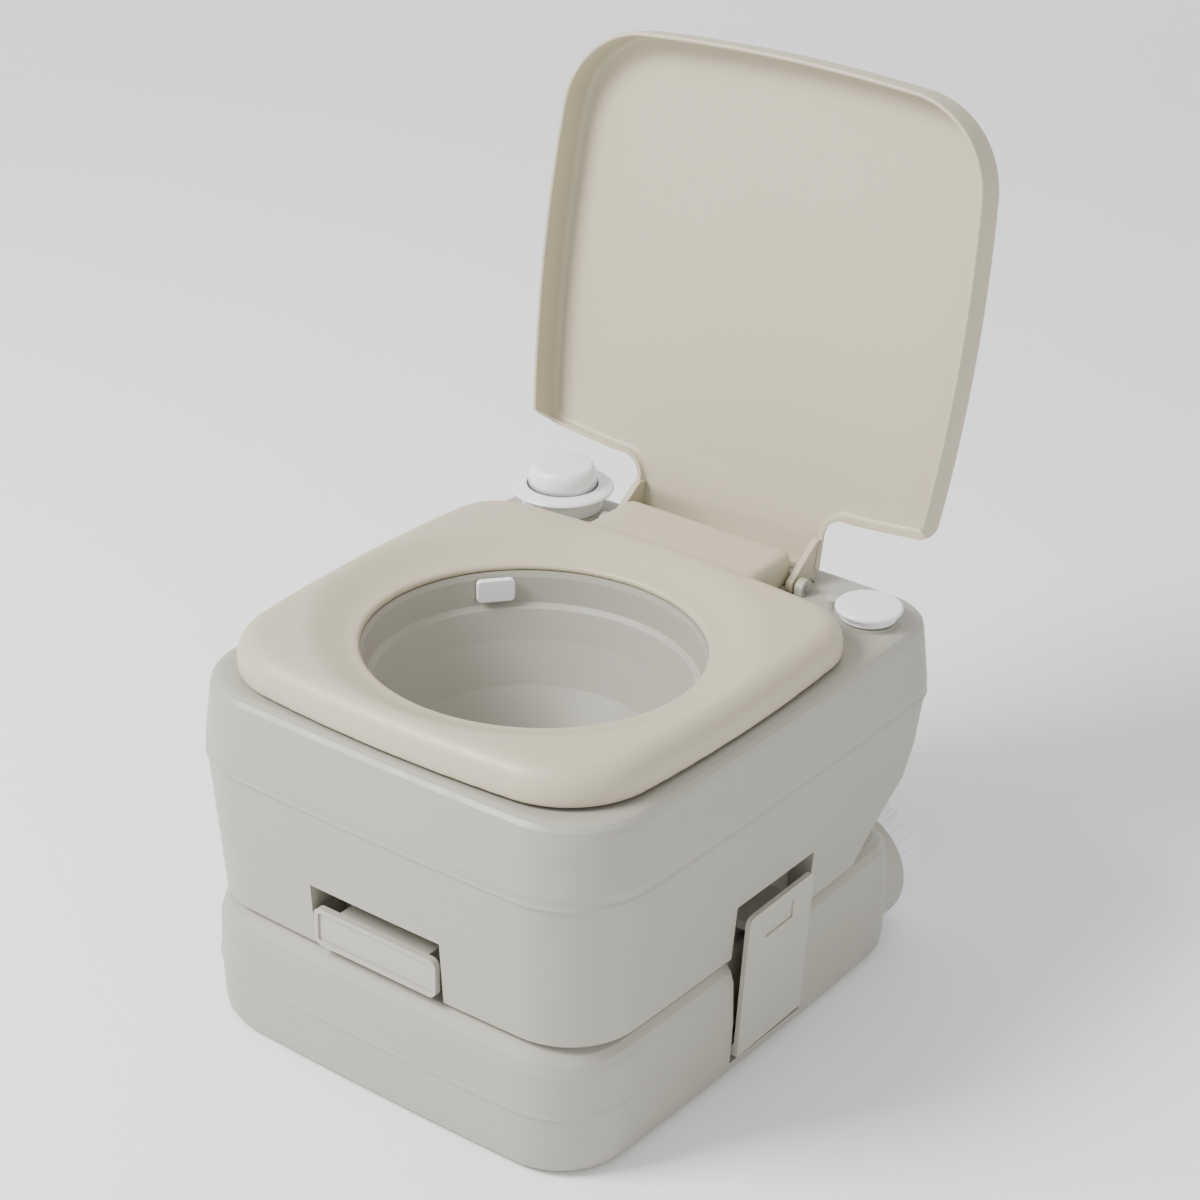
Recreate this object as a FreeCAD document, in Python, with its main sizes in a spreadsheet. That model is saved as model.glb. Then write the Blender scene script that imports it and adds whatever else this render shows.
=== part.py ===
import FreeCAD, Part
import math
import os
import re

import Sketcher
from FreeCAD import Placement, Rotation, Vector

# Portable camp toilet: a flush-water tank with bowl, seat and lid, latched onto a waste tank.
# Millimetres. +X is the right-hand side, -Y the front, +Z up.
# The origin is on the floor, under the middle of the tanks.

# ---------------------------------------------------------------- driving dimensions

SIZES = (
    # alias, value, meaning
    ("tank_width", 365, "widest breadth of the flush tank"),
    ("tank_depth", 415, "front to back of the flush tank"),
    ("wall", 3, "thickness of the moulded walls"),
    ("side_bend", 4900, "radius of the tanks' slightly bowed sides"),
    ("end_bend", 4000, "radius of the tanks' slightly bowed front and back"),
    ("crest_place", 85, "how far behind the middle the sides are widest"),
    ("front_corner", 63, "corner radius in plan, front"),
    ("rear_corner", 46, "corner radius in plan, rear"),
    ("stack_gap", 1.8, "gap between the two tanks"),
    ("skirt_inset", 9.1, "how far that edge lies inside the belt"),
    ("belt_height", 205.5, "height of the seam between flush tank and bowl deck"),
    ("belt_lip", 10, "height of the small chamfer above the seam"),
    ("belt_inset", 0.8, "depth of that chamfer"),
    ("deck_top", 263, "height of the deck under the seat"),
    ("rim_drop", 9, "height of the rounding at the deck's edge"),
    ("rim_inset", 4.6, "how far the rim lies inside the belt below its rounding"),
    ("rim_round", 9.5, "breadth of the rounding at the deck's edge"),
    ("foot_inset", 65.5, "how far the flush tank's lower edge lies in front of its back"),
    ("knee_rise", 19.2, "where the sloping back starts to lean out, above the lower edge"),
    ("knee_inset", 47.5, "how far the back is drawn in there"),
    ("elbow_rise", 47.2, "where the sloping back ends, above the lower edge"),
    ("elbow_inset", 11.5, "how far the back is drawn in there"),
    # waste tank
    ("base_inset", 7.4, "how much narrower the waste tank is, each side"),
    ("base_front_inset", 0.5, "waste tank's front, behind the flush tank's"),
    ("base_rear_inset", 29.5, "waste tank's back, in front of the flush tank's"),
    ("base_front_corner", 56, "waste tank's corner radius, front"),
    ("base_rear_corner", 36, "waste tank's corner radius, rear"),
    ("base_crease", 49.4, "height of the waste tank's widest line"),
    ("base_top", 97, "height of the waste tank's deck"),
    ("base_shoulder", 19, "breadth of its rounded shoulder"),
    ("base_round", 12, "breadth of its rounded lower edge"),
    # bowl and outlet
    ("bowl_place", -37, "bowl and outlet centre, front to back"),
    ("bowl_half_width", 117.5, "half breadth of the bowl's mouth"),
    ("bowl_half_depth", 111.5, "half depth of the bowl's mouth"),
    ("collar_height", 9, "height of the splash collar above the deck"),
    ("collar_wall", 6.5, "thickness of the splash collar"),
    ("ledge_drop", 17, "step in the bowl, below the deck"),
    ("outlet_radius", 44, "bore of the bowl's outlet"),
    ("outlet_wall", 3.5, "wall of the outlet spigot"),
    ("gasket_height", 4.7, "height of the outlet gasket over the valve cover"),
    ("gasket_width", 8, "radial width of the outlet gasket"),
    # slide valve
    ("valve_half_width", 62, "half breadth of the valve housing"),
    ("valve_front", 160, "valve housing's front, from the middle"),
    ("valve_rear", 62, "valve housing's back, behind the outlet's centre"),
    ("blade_half_width", 48, "half breadth of the sliding blade"),
    ("blade_thickness", 3, "thickness of the blade"),
    ("blade_rise", 12, "underside of the blade above the waste tank's deck"),
    ("blade_cover", 5, "how far the blade reaches past the outlet's bore"),
    ("slide_gap", 0.3, "clearance round the blade"),
    ("cover_thickness", 7.5, "thickness of the valve cover"),
    ("seal_width", 4, "radial width of the lip seal"),
    ("seal_depth", 2.5, "height of the lip seal"),
    ("screw_radius", 1.7, "shank of the housing screws"),
    ("screw_head", 3.4, "head radius of the housing screws"),
    ("handle_half_width", 52, "half breadth of the handle plate"),
    ("handle_rise", 6.5, "lower edge of the handle plate above the waste tank's deck"),
    ("handle_height", 28.5, "height of the handle plate"),
    ("handle_sunk", 5, "face of the handle plate, behind the flush tank's front"),
    ("handle_thickness", 5, "thickness of the handle plate"),
    ("handle_rim", 3.5, "breadth of its raised border"),
    ("handle_sink", 1.5, "depth of the panel inside the border"),
    ("handle_corner", 6, "corner radius of the handle plate"),
    ("arm_half_width", 38, "half breadth of the handle's arm"),
    ("arm_height", 15, "height of the handle's arm above the blade"),
    ("notch_gap", 3, "clearance beside the handle in the front notch"),
    ("notch_height", 48.2, "height of the front notch"),
    # side latches
    ("pivot_inset", 15, "latch pivot, inside the flush tank's side"),
    ("pivot_height", 24, "latch pivot above the floor"),
    ("pivot_barrel", 5, "radius of the latch's barrel"),
    ("latch_half_width", 38, "half breadth of the latch plate"),
    ("latch_over", 15, "how far the latch reaches above its catch"),
    ("latch_thickness", 3.5, "thickness of the latch plate"),
    ("latch_reach", 8.5, "outer face of the latch, outside its pivot"),
    ("latch_gap", 3, "clearance beside the latch"),
    ("latch_ajar", 3, "degrees that the latch stands off its catch"),
    ("latch_pin", 2.5, "radius of the latch's pivot pin"),
    ("catch_inset", 13, "outer edge of the catch, inside the flush tank's side"),
    ("catch_rise", 18.2, "top of the catch above the flush tank's lower edge"),
    ("catch_thickness", 6, "height of the catch"),
    ("catch_half_width", 24, "half breadth of the catch"),
    ("recess_depth", 14.5, "depth of the latch recess in the waste tank"),
    ("pocket_height", 43.2, "height of the latch pocket in the flush tank"),
    ("pocket_depth", 25.5, "depth of the latch pocket in the flush tank"),
    # drain
    ("drain_inset", 56.5, "drain axis, inside the flush tank's side"),
    ("drain_height", 48.5, "drain axis above the floor"),
    ("drain_boss", 46, "radius of the boss round the drain"),
    ("drain_bore", 35, "bore of the drain neck"),
    ("drain_neck", 22, "length of the drain neck"),
    ("drain_cap_radius", 44, "radius of the drain cap"),
    ("drain_cap_depth", 27, "depth of the drain cap"),
    ("cap_ribs", 30, "number of flutes round the drain cap"),
    ("flute_radius", 1.6, "radius of a flute"),
    ("thread_gap", 0.5, "clearance between a neck and its cap"),
    ("seal_thickness", 2, "thickness of the cap seals"),
    # filler
    ("filler_inset", 39, "filler axis, inside the flush tank's right side"),
    ("filler_rear_inset", 56.5, "filler axis, in front of the flush tank's back"),
    ("filler_bore", 14, "bore of the filler neck"),
    ("filler_neck", 7, "height of the filler neck"),
    ("filler_cap_radius", 23.5, "radius of the filler cap's disc"),
    ("filler_cap_height", 12.5, "top of the filler cap above the deck"),
    ("filler_skirt", 20, "radius of the filler cap's skirt"),
    # pump
    ("pump_inset", 47.5, "pump axis, inside the flush tank's left side"),
    ("pump_rear_inset", 40, "pump axis, in front of the flush tank's back"),
    ("flange_radius", 38.5, "radius of the pump flange"),
    ("flange_height", 18, "top of the pump flange above the deck"),
    ("button_radius", 25.5, "radius of the pump button"),
    ("button_height", 16, "top of the button above the flange"),
    ("button_gap", 0.7, "clearance round the button"),
    ("barrel_radius", 26, "outer radius of the pump barrel"),
    ("barrel_length", 76, "length of the pump barrel"),
    ("barrel_drop", 11, "upper end of the pump barrel below the deck"),
    ("rod_radius", 5, "radius of the piston rod"),
    ("rod_gap", 0.1, "running clearance round the rod"),
    ("piston_height", 12, "height of the piston"),
    ("piston_drop", 24, "top of the piston at rest below the deck"),
    ("suction_length", 44, "how far the suction tube reaches below the barrel"),
    ("coil_radius", 12, "mean radius of the return spring"),
    ("wire_radius", 0.8, "radius of the spring wire"),
    ("coil_turns", 4, "turns of the return spring"),
    ("coil_steps", 16, "straight steps in a turn of the spring"),
    ("spring_gap", 0.2, "clearance at the ends of the spring"),
    # flush hose and nozzle
    ("nozzle_turn", 141, "place of the nozzle round the bowl, degrees from +X"),
    ("nozzle_half_width", 13.5, "half breadth of the nozzle"),
    ("nozzle_drop", 10.5, "lower edge of the nozzle below the deck"),
    ("nozzle_height", 17, "height of the nozzle"),
    ("hose_drop", 17.5, "flush hose below the deck"),
    ("hose_radius", 6, "outer radius of the flush hose"),
    ("hose_bore", 4, "bore of the flush hose"),
    ("hose_bend", 30, "radius of the hose's bend"),
    # hinge
    ("hinge_inset", 50.5, "hinge axis, in front of the flush tank's back"),
    ("hinge_rise", 4, "hinge axis above the deck"),
    ("pin_radius", 3, "radius of the hinge pins"),
    ("pin_gap", 0.05, "running clearance round the hinge pins"),
    ("ear_radius", 7, "radius of the hinge ears"),
    ("ear_place", 83, "inner face of the deck's ears"),
    ("ear_thickness", 6, "thickness of the ears"),
    ("cheek_gap", 2, "gap between neighbouring hinge ears"),
    ("trough_depth", 9, "depth of the trough under the hinge"),
    ("trough_front", 13, "trough in front of the hinge axis"),
    ("trough_rear", 21, "trough behind the hinge axis"),
    # seat
    ("seat_margin", 14.4, "seat's sides, inside the flush tank's"),
    ("seat_front_margin", 12.9, "seat's front, behind the flush tank's"),
    ("seat_heel", 34.7, "seat's back, in front of the hinge axis"),
    ("seat_front_corner", 66, "seat's corner radius, front"),
    ("seat_rear_corner", 45, "seat's corner radius, rear"),
    ("seat_side_bend", 1160, "radius of the seat's bowed sides"),
    ("seat_end_bend", 1080, "radius of the seat's bowed front"),
    ("seat_crest", -10, "where the seat is widest, front to back"),
    ("seat_gap", 2, "gap between the deck and the seat"),
    ("seat_height", 25, "thickness of the seat"),
    ("seat_wall", 4, "wall of the hollow seat"),
    ("seat_lip", 13, "height of the hole's edge above the deck"),
    ("tongue_half_width", 72, "half breadth of the seat's hinge tongue"),
    ("tongue_rear", 10, "how far the tongue reaches past the hinge axis"),
    ("tongue_height", 18.5, "thickness of the tongue"),
    ("buffer_radius", 7, "radius of the seat's rubber buffers"),
    ("buffer_margin", 30, "buffers, inside the seat's sides"),
    ("buffer_front", -105, "front buffers, front to back"),
    ("buffer_rear", 70, "rear buffers, front to back"),
    # lid, measured from the hinge axis with the lid shut
    ("lid_margin", 6.5, "lid's sides, inside the flush tank's"),
    ("lid_front_margin", 8.5, "lid's front, behind the flush tank's"),
    ("lid_heel", 42.5, "hinge axis to the lid's rear edge beside its tongue"),
    ("lid_front_corner", 67, "lid's corner radius, front"),
    ("lid_rear_corner", 15, "lid's corner radius, rear"),
    ("lid_side_bend", 1200, "radius of the lid's bowed sides"),
    ("lid_end_bend", 1400, "radius of the lid's bowed front"),
    ("lid_crown", 33, "lid's outer face above the hinge axis"),
    ("lid_rim", 27.5, "depth of the lid's rim"),
    ("lid_wall", 3, "thickness of the lid"),
    ("lid_open", 99.7, "degrees that the lid stands open"),
    ("lid_tail", 4, "hinge axis to the end of the lid's tongue"),
    ("lid_clear", 12, "length of the lid's tongue left thin to clear the seat"),
    # details of the waste tank and its screws
    ("overcut", 10, "how far a cut runs past the surface it opens"),
    ("boss_length", 40, "length of the boss behind the drain cap"),
    ("latch_setback", 6.5, "latch faces, inside the widest breadth"),
    ("recess_drop", 10, "latch recesses below their pivots"),
    ("pad_half_width", 9, "half breadth of the pads that carry the upper tank"),
    ("pad_side", 105, "pads, to either side"),
    ("pad_front", 130, "front pads, from the middle"),
    ("pad_rear", 90, "rear pads, from the middle"),
    ("rest_gap", 0.05, "play between parts that rest on each other"),
    ("fuse_overlap", 0.5, "how far joined solids run into each other"),
    ("screw_head_height", 2.4, "height of the screw heads"),
    ("screw_grip", 5, "depth of the screws in the waste tank"),
    ("screw_clearance", 0.1, "clearance round the screws"),
    # details of the latches
    ("latch_foot", 4, "how far the latches reach below their pivots"),
    ("latch_knee", 6, "height of the thick foot of the latches"),
    ("latch_corner", 5, "corner radius of the latches"),
    ("grip_front", 17, "front of the grip mark on the latches"),
    ("grip_rear", 15, "rear of the grip mark on the latches"),
    ("grip_drop", 25, "lower edge of the grip mark below the latch's end"),
    ("grip_margin", 11, "upper edge of the grip mark below the latch's end"),
    ("grip_sink", 1.2, "depth of the grip mark"),
    ("hook_reach", 4, "how far the hooks reach over the catches"),
    ("hook_height", 5, "thickness of the hooks"),
    # details of the drain cap
    ("cap_gap", 0.6, "gap between the drain cap and the tank"),
    ("cap_chamfer", 1, "chamfer at the drain cap's foot"),
    ("cap_round", 3, "breadth of the chamfer round the drain cap's face"),
    ("plain_foot", 4, "height of the drain cap's plain foot"),
    ("flute_share", 0.4, "how far outside the cap the flutes' centres lie, in flute radii"),
    ("seal_play", 0.2, "how far the seals' bores stand outside the necks'"),
    # details of the filler cap and its strap
    ("thread_share", 0.9, "wall of the filler neck, in walls"),
    ("strap_thickness", 1.8, "thickness of the cap's strap"),
    ("strap_reach", 14, "how far the strap reaches past the cap"),
    ("strap_half_width", 4, "half breadth of the strap's tail"),
    ("stud_reach", 9, "stud, beyond the cap's skirt"),
    ("stud_radius", 5.5, "radius of the strap's stud"),
    ("stud_height", 8, "height of the strap's stud"),
    # details of the nozzle and its housing
    ("nozzle_thickness", 4, "thickness of the nozzle's plate"),
    ("nozzle_stand", 5.5, "nozzle's face, in front of the bowl's wall"),
    ("nozzle_corner", 3.5, "corner radius of the nozzle"),
    ("nozzle_margin", 4, "window in the bowl, inside the nozzle's ends"),
    ("plug_clearance", 0.3, "clearance at the ends of the nozzle's plug"),
    ("plug_length", 6.4, "length of the nozzle's plug"),
    ("window_height", 5.7, "height of the window in the bowl"),
    ("case_place", 5, "nozzle housing, behind the bowl's wall"),
    ("case_depth", 11, "depth of the nozzle housing"),
    ("spigot_place", 15, "start of the housing's hose spigot"),
    ("spigot_end", 27, "end of the hose's bore, behind the bowl's wall"),
    ("spigot_length", 11, "length of the housing's hose spigot"),
    ("hose_start", 17, "start of the hose, behind the bowl's wall"),
    ("spigot_wall", 1.5, "wall of the hose spigots"),
    # details of the pump
    ("barrel_spigot", 12, "length of the barrel's hose spigot"),
    ("groove_half", 1.5, "half height of the piston's groove"),
    ("groove_depth", 3, "depth of the piston's groove"),
    ("ring_play", 0.1, "play of the ring in its groove and barrel"),
    ("piston_gap", 0.6, "clearance round the piston"),
    ("foot_height", 6, "thickness of the foot valve's disc"),
    ("suction_radius", 6, "outer radius of the suction tube"),
    ("suction_bore", 4, "bore of the suction tube"),
    ("suction_place", -16, "suction tube, from the pump's axis"),
    ("strainer_radius", 8, "radius of the strainer"),
    ("strainer_height", 8, "height of the strainer"),
    # details of the seat
    ("under_slope", 18, "how far the seat's hollow draws in at its top"),
    ("room_gap", 3.5, "room between the collar and the seat"),
    ("room_drop", 1.5, "top of that room below the hole's edge"),
    ("tongue_root", 22, "how far the tongue reaches into the seat"),
    ("tongue_corner", 8, "corner radius of the tongue"),
    ("tongue_round", 5, "radius of the tongue's upper edges"),
    ("boss_wall", 1.5, "wall round the buffers' bosses"),
    ("boss_share", 0.86, "height of the bosses, in seat heights"),
    ("pin_depth", 11, "how far the pins reach into the seat's tongue"),
    # details of the lid
    ("open_margin", 20, "open part of the rim, inside the lid's sides"),
    ("open_depth", 24, "how far the opening cuts into the lid's rear"),
    ("lid_overlap", 14, "how far the lid's tongue runs into the lid"),
    ("tongue_depth", 13, "depth of the lid's tongue"),
    ("web_foot", 12, "foot of the hinge arms below the crown"),
    ("web_rise_share", 0.35, "height of the arm's root on its ear, in ear radii"),
    ("web_reach_share", 0.9, "reach of the arm's root on its ear, in ear radii"),
)

doc = FreeCAD.newDocument("CampToilet")
sheet = doc.addObject("Spreadsheet::Sheet", "Sizes")
for row, (alias, amount, meaning) in enumerate(SIZES, start=1):
    sheet.set(f"A{row}", meaning)
    sheet.set(f"B{row}", str(amount))
    sheet.setAlias(f"B{row}", alias)
doc.recompute()

# places that follow from the sizes above
DERIVED = {
    "base_half_width": "tank_width / 2 - base_inset",
    "base_front": "tank_depth / 2 - base_front_inset",
    "base_rear": "tank_depth / 2 - base_rear_inset",
    "skirt_bottom": "base_top + stack_gap",
    "foot_rear": "tank_depth / 2 - foot_inset",
    "knee_height": "skirt_bottom + knee_rise",
    "knee_rear": "tank_depth / 2 - knee_inset",
    "elbow_height": "skirt_bottom + elbow_rise",
    "elbow_rear": "tank_depth / 2 - elbow_inset",
    "ledge_height": "deck_top - ledge_drop",
    "blade_height": "base_top + blade_rise",
    "cover_bottom": "blade_height + blade_thickness + slide_gap",
    "cover_top": "cover_bottom + cover_thickness",
    "spigot_bottom": "cover_top + gasket_height",
    "handle_bottom": "base_top + handle_rise",
    "handle_front": "tank_depth / 2 - handle_sunk",
    "notch_top": "skirt_bottom + notch_height",
    "pivot_place": "tank_width / 2 - pivot_inset",
    "catch_place": "tank_width / 2 - catch_inset",
    "catch_top": "skirt_bottom + catch_rise",
    "latch_height": "catch_top + latch_over - pivot_height",
    "pocket_top": "skirt_bottom + pocket_height",
    "drain_place": "tank_width / 2 - drain_inset",
    "filler_right": "tank_width / 2 - filler_inset",
    "filler_back": "tank_depth / 2 - filler_rear_inset",
    "pump_left": "tank_width / 2 - pump_inset",
    "pump_back": "tank_depth / 2 - pump_rear_inset",
    "barrel_top": "deck_top - barrel_drop",
    "barrel_bottom": "barrel_top - barrel_length",
    "piston_top": "deck_top - piston_drop",
    "suction_bottom": "barrel_bottom - suction_length",
    "nozzle_bottom": "deck_top - nozzle_drop",
    "hose_height": "deck_top - hose_drop",
    "hinge_place": "tank_depth / 2 - hinge_inset",
    "hinge_height": "deck_top + hinge_rise",
    "seat_half_width": "tank_width / 2 - seat_margin",
    "seat_front": "tank_depth / 2 - seat_front_margin",
    "seat_rear": "hinge_place - seat_heel",
    "buffer_spread": "seat_half_width - buffer_margin",
    "lid_half_width": "tank_width / 2 - lid_margin",
    "lid_reach": "hinge_place + tank_depth / 2 - lid_front_margin",
}

ALIASES = {alias for alias, amount, meaning in SIZES}
NODES = []


# ---------------------------------------------------------------- helpers: expressions

def bound(expression):
    """An expression in the sheet's aliases, as FreeCAD writes it."""
    def full_name(word):
        name = word.group()
        if name in DERIVED:
            return f"({bound(DERIVED[name])})"
        return f"Sizes.{name}" if name in ALIASES else name
    return re.sub(r"[A-Za-z_]\w*", full_name, str(expression))


def value(expression):
    """The number that an expression in the sheet's aliases has now."""
    return float(sheet.evalExpression(bound(expression)))


def bind(item, **expressions):
    """Binds properties such as Length or Radius to the sheet."""
    for name, expression in expressions.items():
        item.setExpression(name, bound(expression))


def move(item, x=0, y=0, z=0):
    """Binds an object's position to the sheet."""
    for axis, expression in zip("xyz", (x, y, z)):
        item.setExpression(f"Placement.Base.{axis}", bound(expression))


def turn(item, axis, angle):
    """Turns an object about one of its axes by an angle bound to the sheet."""
    item.Placement = Placement(item.Placement.Base, Rotation(Vector(*axis), 1))
    item.setExpression("Placement.Rotation.Angle", bound(angle))


def node(item, label):
    """Marks an object as one of the sub-parts, under the name its file gets."""
    item.Label = label
    NODES.append(item)
    return item


# ---------------------------------------------------------------- helpers: solids

def block(name, x, y, z):
    """A box between two expressions along each axis."""
    box = doc.addObject("Part::Box", name)
    sides = (("Length", x), ("Width", y), ("Height", z))
    for side, (low, high) in sides:
        box.setExpression(side, bound(f"({high}) - ({low})"))
    move(box, x[0], y[0], z[0])
    return box


def rod(name, radius, length, x=0, y=0, z=0, along="z"):
    """A cylinder that starts at a point and runs along an axis."""
    cylinder = doc.addObject("Part::Cylinder", name)
    bind(cylinder, Radius=radius, Height=length)
    if along == "x":
        cylinder.Placement.Rotation = Rotation(Vector(0, 1, 0), 90)
    if along == "y":
        cylinder.Placement.Rotation = Rotation(Vector(1, 0, 0), -90)
    move(cylinder, x, y, z)
    return cylinder


def fused(name, *items):
    joined = doc.addObject("Part::MultiFuse", name)
    joined.Shapes = list(items)
    return joined


def cut(name, base, *tools):
    result = doc.addObject("Part::Cut", name)
    result.Base = base
    result.Tool = tools[0] if len(tools) == 1 else fused(name + "_tools", *tools)
    return result


def group(name, *items):
    together = doc.addObject("Part::Compound", name)
    together.Links = list(items)
    return together


def loft(name, sections):
    result = doc.addObject("Part::Loft", name)
    result.Sections = sections
    result.Solid = True
    result.Ruled = True
    return result


def ellipse_loft(name, levels, x=0, y="bowl_place"):
    """A solid through level ellipses, each given as height, half width, half depth."""
    sections = []
    for number, (height, half_width, half_depth) in enumerate(levels):
        ring = doc.addObject("Part::Ellipse", f"{name}_{number}")
        bind(ring, MajorRadius=half_width, MinorRadius=half_depth)
        move(ring, x, y, height)
        sections.append(ring)
    return loft(name, sections)


def rounded(name, base, radius, chosen):
    """A Part fillet on the edges that a test chooses."""
    doc.recompute()
    fillet = doc.addObject("Part::Fillet", name)
    fillet.Base = base
    size = value(radius)
    edges = enumerate(base.Shape.Edges, start=1)
    fillet.Edges = [(number, size, size) for number, edge in edges if chosen(edge)]
    return fillet


# ---------------------------------------------------------------- helpers: plan outlines

def outline(half_width, front, rear, front_corner, rear_corner, crest="crest_place",
            side_bend="side_bend", end_bend="end_bend"):
    """A bowed rectangle with round corners: its sizes, seen from above."""
    return dict(half_width=half_width, front=front, rear=rear, front_corner=front_corner,
                rear_corner=rear_corner, crest=crest, side_bend=side_bend, end_bend=end_bend)


def corner_centre(side_centre, side_radius, end_centre, end_radius, towards_rear):
    """Where a corner arc's centre lies, at given distances from two other centres."""
    apart = end_centre - side_centre
    along = (side_radius ** 2 - end_radius ** 2 + apart.Length ** 2) / (2 * apart.Length)
    across = math.sqrt(side_radius ** 2 - along ** 2)
    unit = Vector(apart).normalize()
    normal = Vector(-unit.y, unit.x, 0)
    both = [side_centre + unit * along + normal * across,
            side_centre + unit * along - normal * across]
    right = [point for point in both if point.x > 0] or both
    pick = max if towards_rear else min
    return pick(right, key=lambda point: point.y)


def arc(centre, radius, start, end):
    """An anticlockwise arc between two points of a circle."""
    first = math.atan2(start.y - centre.y, start.x - centre.x)
    last = math.atan2(end.y - centre.y, end.x - centre.x)
    if last < first:
        last += 2 * math.pi
    return Part.ArcOfCircle(Part.Circle(centre, Vector(0, 0, 1), radius), first, last)


def mirrored(point):
    return Vector(-point.x, point.y, 0)


def plan_section(name, shape, height, inset, rear=None):
    """A level section of a vessel: its outline, drawn in by an inset."""
    rear = rear or shape["rear"]
    half_width, front, crest = shape["half_width"], shape["front"], shape["crest"]
    side, end = shape["side_bend"], shape["end_bend"]
    radii = {part: f"{shape[part]} - ({inset})"
             for part in ("front_corner", "rear_corner", "side_bend", "end_bend")}
    amount = {part: value(expression) for part, expression in radii.items()}

    side_centre = Vector(value(f"{half_width} - {side}"), value(crest), 0)
    front_centre = Vector(0, value(f"{front} + {end}"), 0)
    rear_centre = Vector(0, value(f"{rear} - {end}"), 0)
    front_turn = corner_centre(side_centre, amount["side_bend"] - amount["front_corner"],
                               front_centre, amount["end_bend"] - amount["front_corner"], False)
    rear_turn = corner_centre(side_centre, amount["side_bend"] - amount["rear_corner"],
                              rear_centre, amount["end_bend"] - amount["rear_corner"], True)

    def touch(corner, radius, centre):
        return corner + (corner - centre).normalize() * radius

    front_start = touch(front_turn, amount["front_corner"], front_centre)
    side_start = touch(front_turn, amount["front_corner"], side_centre)
    side_end = touch(rear_turn, amount["rear_corner"], side_centre)
    rear_end = touch(rear_turn, amount["rear_corner"], rear_centre)

    sketch = doc.addObject("Sketcher::SketchObject", name)
    sketch.addGeometry([
        arc(front_centre, amount["end_bend"], mirrored(front_start), front_start),
        arc(front_turn, amount["front_corner"], front_start, side_start),
        arc(side_centre, amount["side_bend"], side_start, side_end),
        arc(rear_turn, amount["rear_corner"], side_end, rear_end),
        arc(rear_centre, amount["end_bend"], rear_end, mirrored(rear_end)),
        arc(mirrored(rear_turn), amount["rear_corner"], mirrored(rear_end), mirrored(side_end)),
        arc(mirrored(side_centre), amount["side_bend"], mirrored(side_end), mirrored(side_start)),
        arc(mirrored(front_turn), amount["front_corner"], mirrored(side_start), mirrored(front_start)),
    ], False)
    for number in range(8):
        sketch.addConstraint(Sketcher.Constraint("Tangent", number, 2, (number + 1) % 8, 1))
    parts = ("end_bend", "front_corner", "side_bend", "rear_corner",
             "end_bend", "rear_corner", "side_bend", "front_corner")
    for number, part in enumerate(parts):
        dimension(sketch, Sketcher.Constraint("Radius", number, amount[part]), radii[part])
    for number in (0, 4):
        sketch.addConstraint(Sketcher.Constraint("PointOnObject", number, 3, -2))
    place_along(sketch, "DistanceY", 0, 3, f"{front} + {end}")
    place_along(sketch, "DistanceY", 4, 3, f"{rear} - {end}")
    place_along(sketch, "DistanceX", 2, 3, f"{half_width} - {side}")
    place_along(sketch, "DistanceX", 6, 3, f"{side} - {half_width}")
    place_along(sketch, "DistanceY", 2, 3, crest)
    place_along(sketch, "DistanceY", 6, 3, crest)
    move(sketch, z=height)
    return sketch


def vessel(name, shape, levels):
    """A solid through level sections, each given as height, inset and perhaps its own rear."""
    return loft(name, [plan_section(f"{name}_{number}", shape, *level)
                       for number, level in enumerate(levels)])


# ---------------------------------------------------------------- helpers: sketches in bodies

def dimension(sketch, constraint, expression):
    number = sketch.addConstraint(constraint)
    sketch.setExpression(f"Constraints[{number}]", bound(expression))


def place_along(sketch, kind, item, point, expression):
    """Holds a point at a distance from the sketch's origin, along one axis."""
    amount = value(expression)
    if abs(amount) < 1e-9:
        across = -2 if kind == "DistanceX" else -1
        sketch.addConstraint(Sketcher.Constraint("PointOnObject", item, point, across))
    elif amount > 0:
        constraint = Sketcher.Constraint(kind, -1, 1, item, point, amount)
        dimension(sketch, constraint, expression)
    else:
        constraint = Sketcher.Constraint(kind, item, point, -1, 1, -amount)
        dimension(sketch, constraint, f"-({expression})")


def new_body(label):
    return node(doc.addObject("PartDesign::Body", label), label)


def sketch_on(body, plane, name, offset=0):
    """A sketch on one of the body's own origin planes."""
    sketch = body.newObject("Sketcher::SketchObject", name)
    face = next(item for item in body.Origin.OriginFeatures if item.Role == plane)
    sketch.AttachmentSupport = (face, "")
    sketch.MapMode = "FlatFace"
    sketch.setExpression("AttachmentOffset.Base.z", bound(offset))
    return sketch


def polygon(sketch, corners):
    """A closed figure whose every corner is held by two dimensions."""
    first = sketch.GeometryCount
    count = len(corners)
    places = [Vector(value(x), value(y), 0) for x, y in corners]
    for number in range(count):
        line = Part.LineSegment(places[number], places[(number + 1) % count])
        sketch.addGeometry(line, False)
    for number in range(count):
        following = first + (number + 1) % count
        sketch.addConstraint(Sketcher.Constraint("Coincident", first + number, 2, following, 1))
    for number, (x, y) in enumerate(corners):
        place_along(sketch, "DistanceX", first + number, 1, x)
        place_along(sketch, "DistanceY", first + number, 1, y)
    return sketch


def rectangle(sketch, x, y):
    low_x, high_x = x
    low_y, high_y = y
    return polygon(sketch, [(low_x, low_y), (high_x, low_y), (high_x, high_y), (low_x, high_y)])


def circle(sketch, x, y, radius):
    item = sketch.GeometryCount
    centre = Vector(value(x), value(y), 0)
    sketch.addGeometry(Part.Circle(centre, Vector(0, 0, 1), value(radius)), False)
    place_along(sketch, "DistanceX", item, 3, x)
    place_along(sketch, "DistanceY", item, 3, y)
    dimension(sketch, Sketcher.Constraint("Radius", item, value(radius)), radius)
    return sketch


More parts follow.
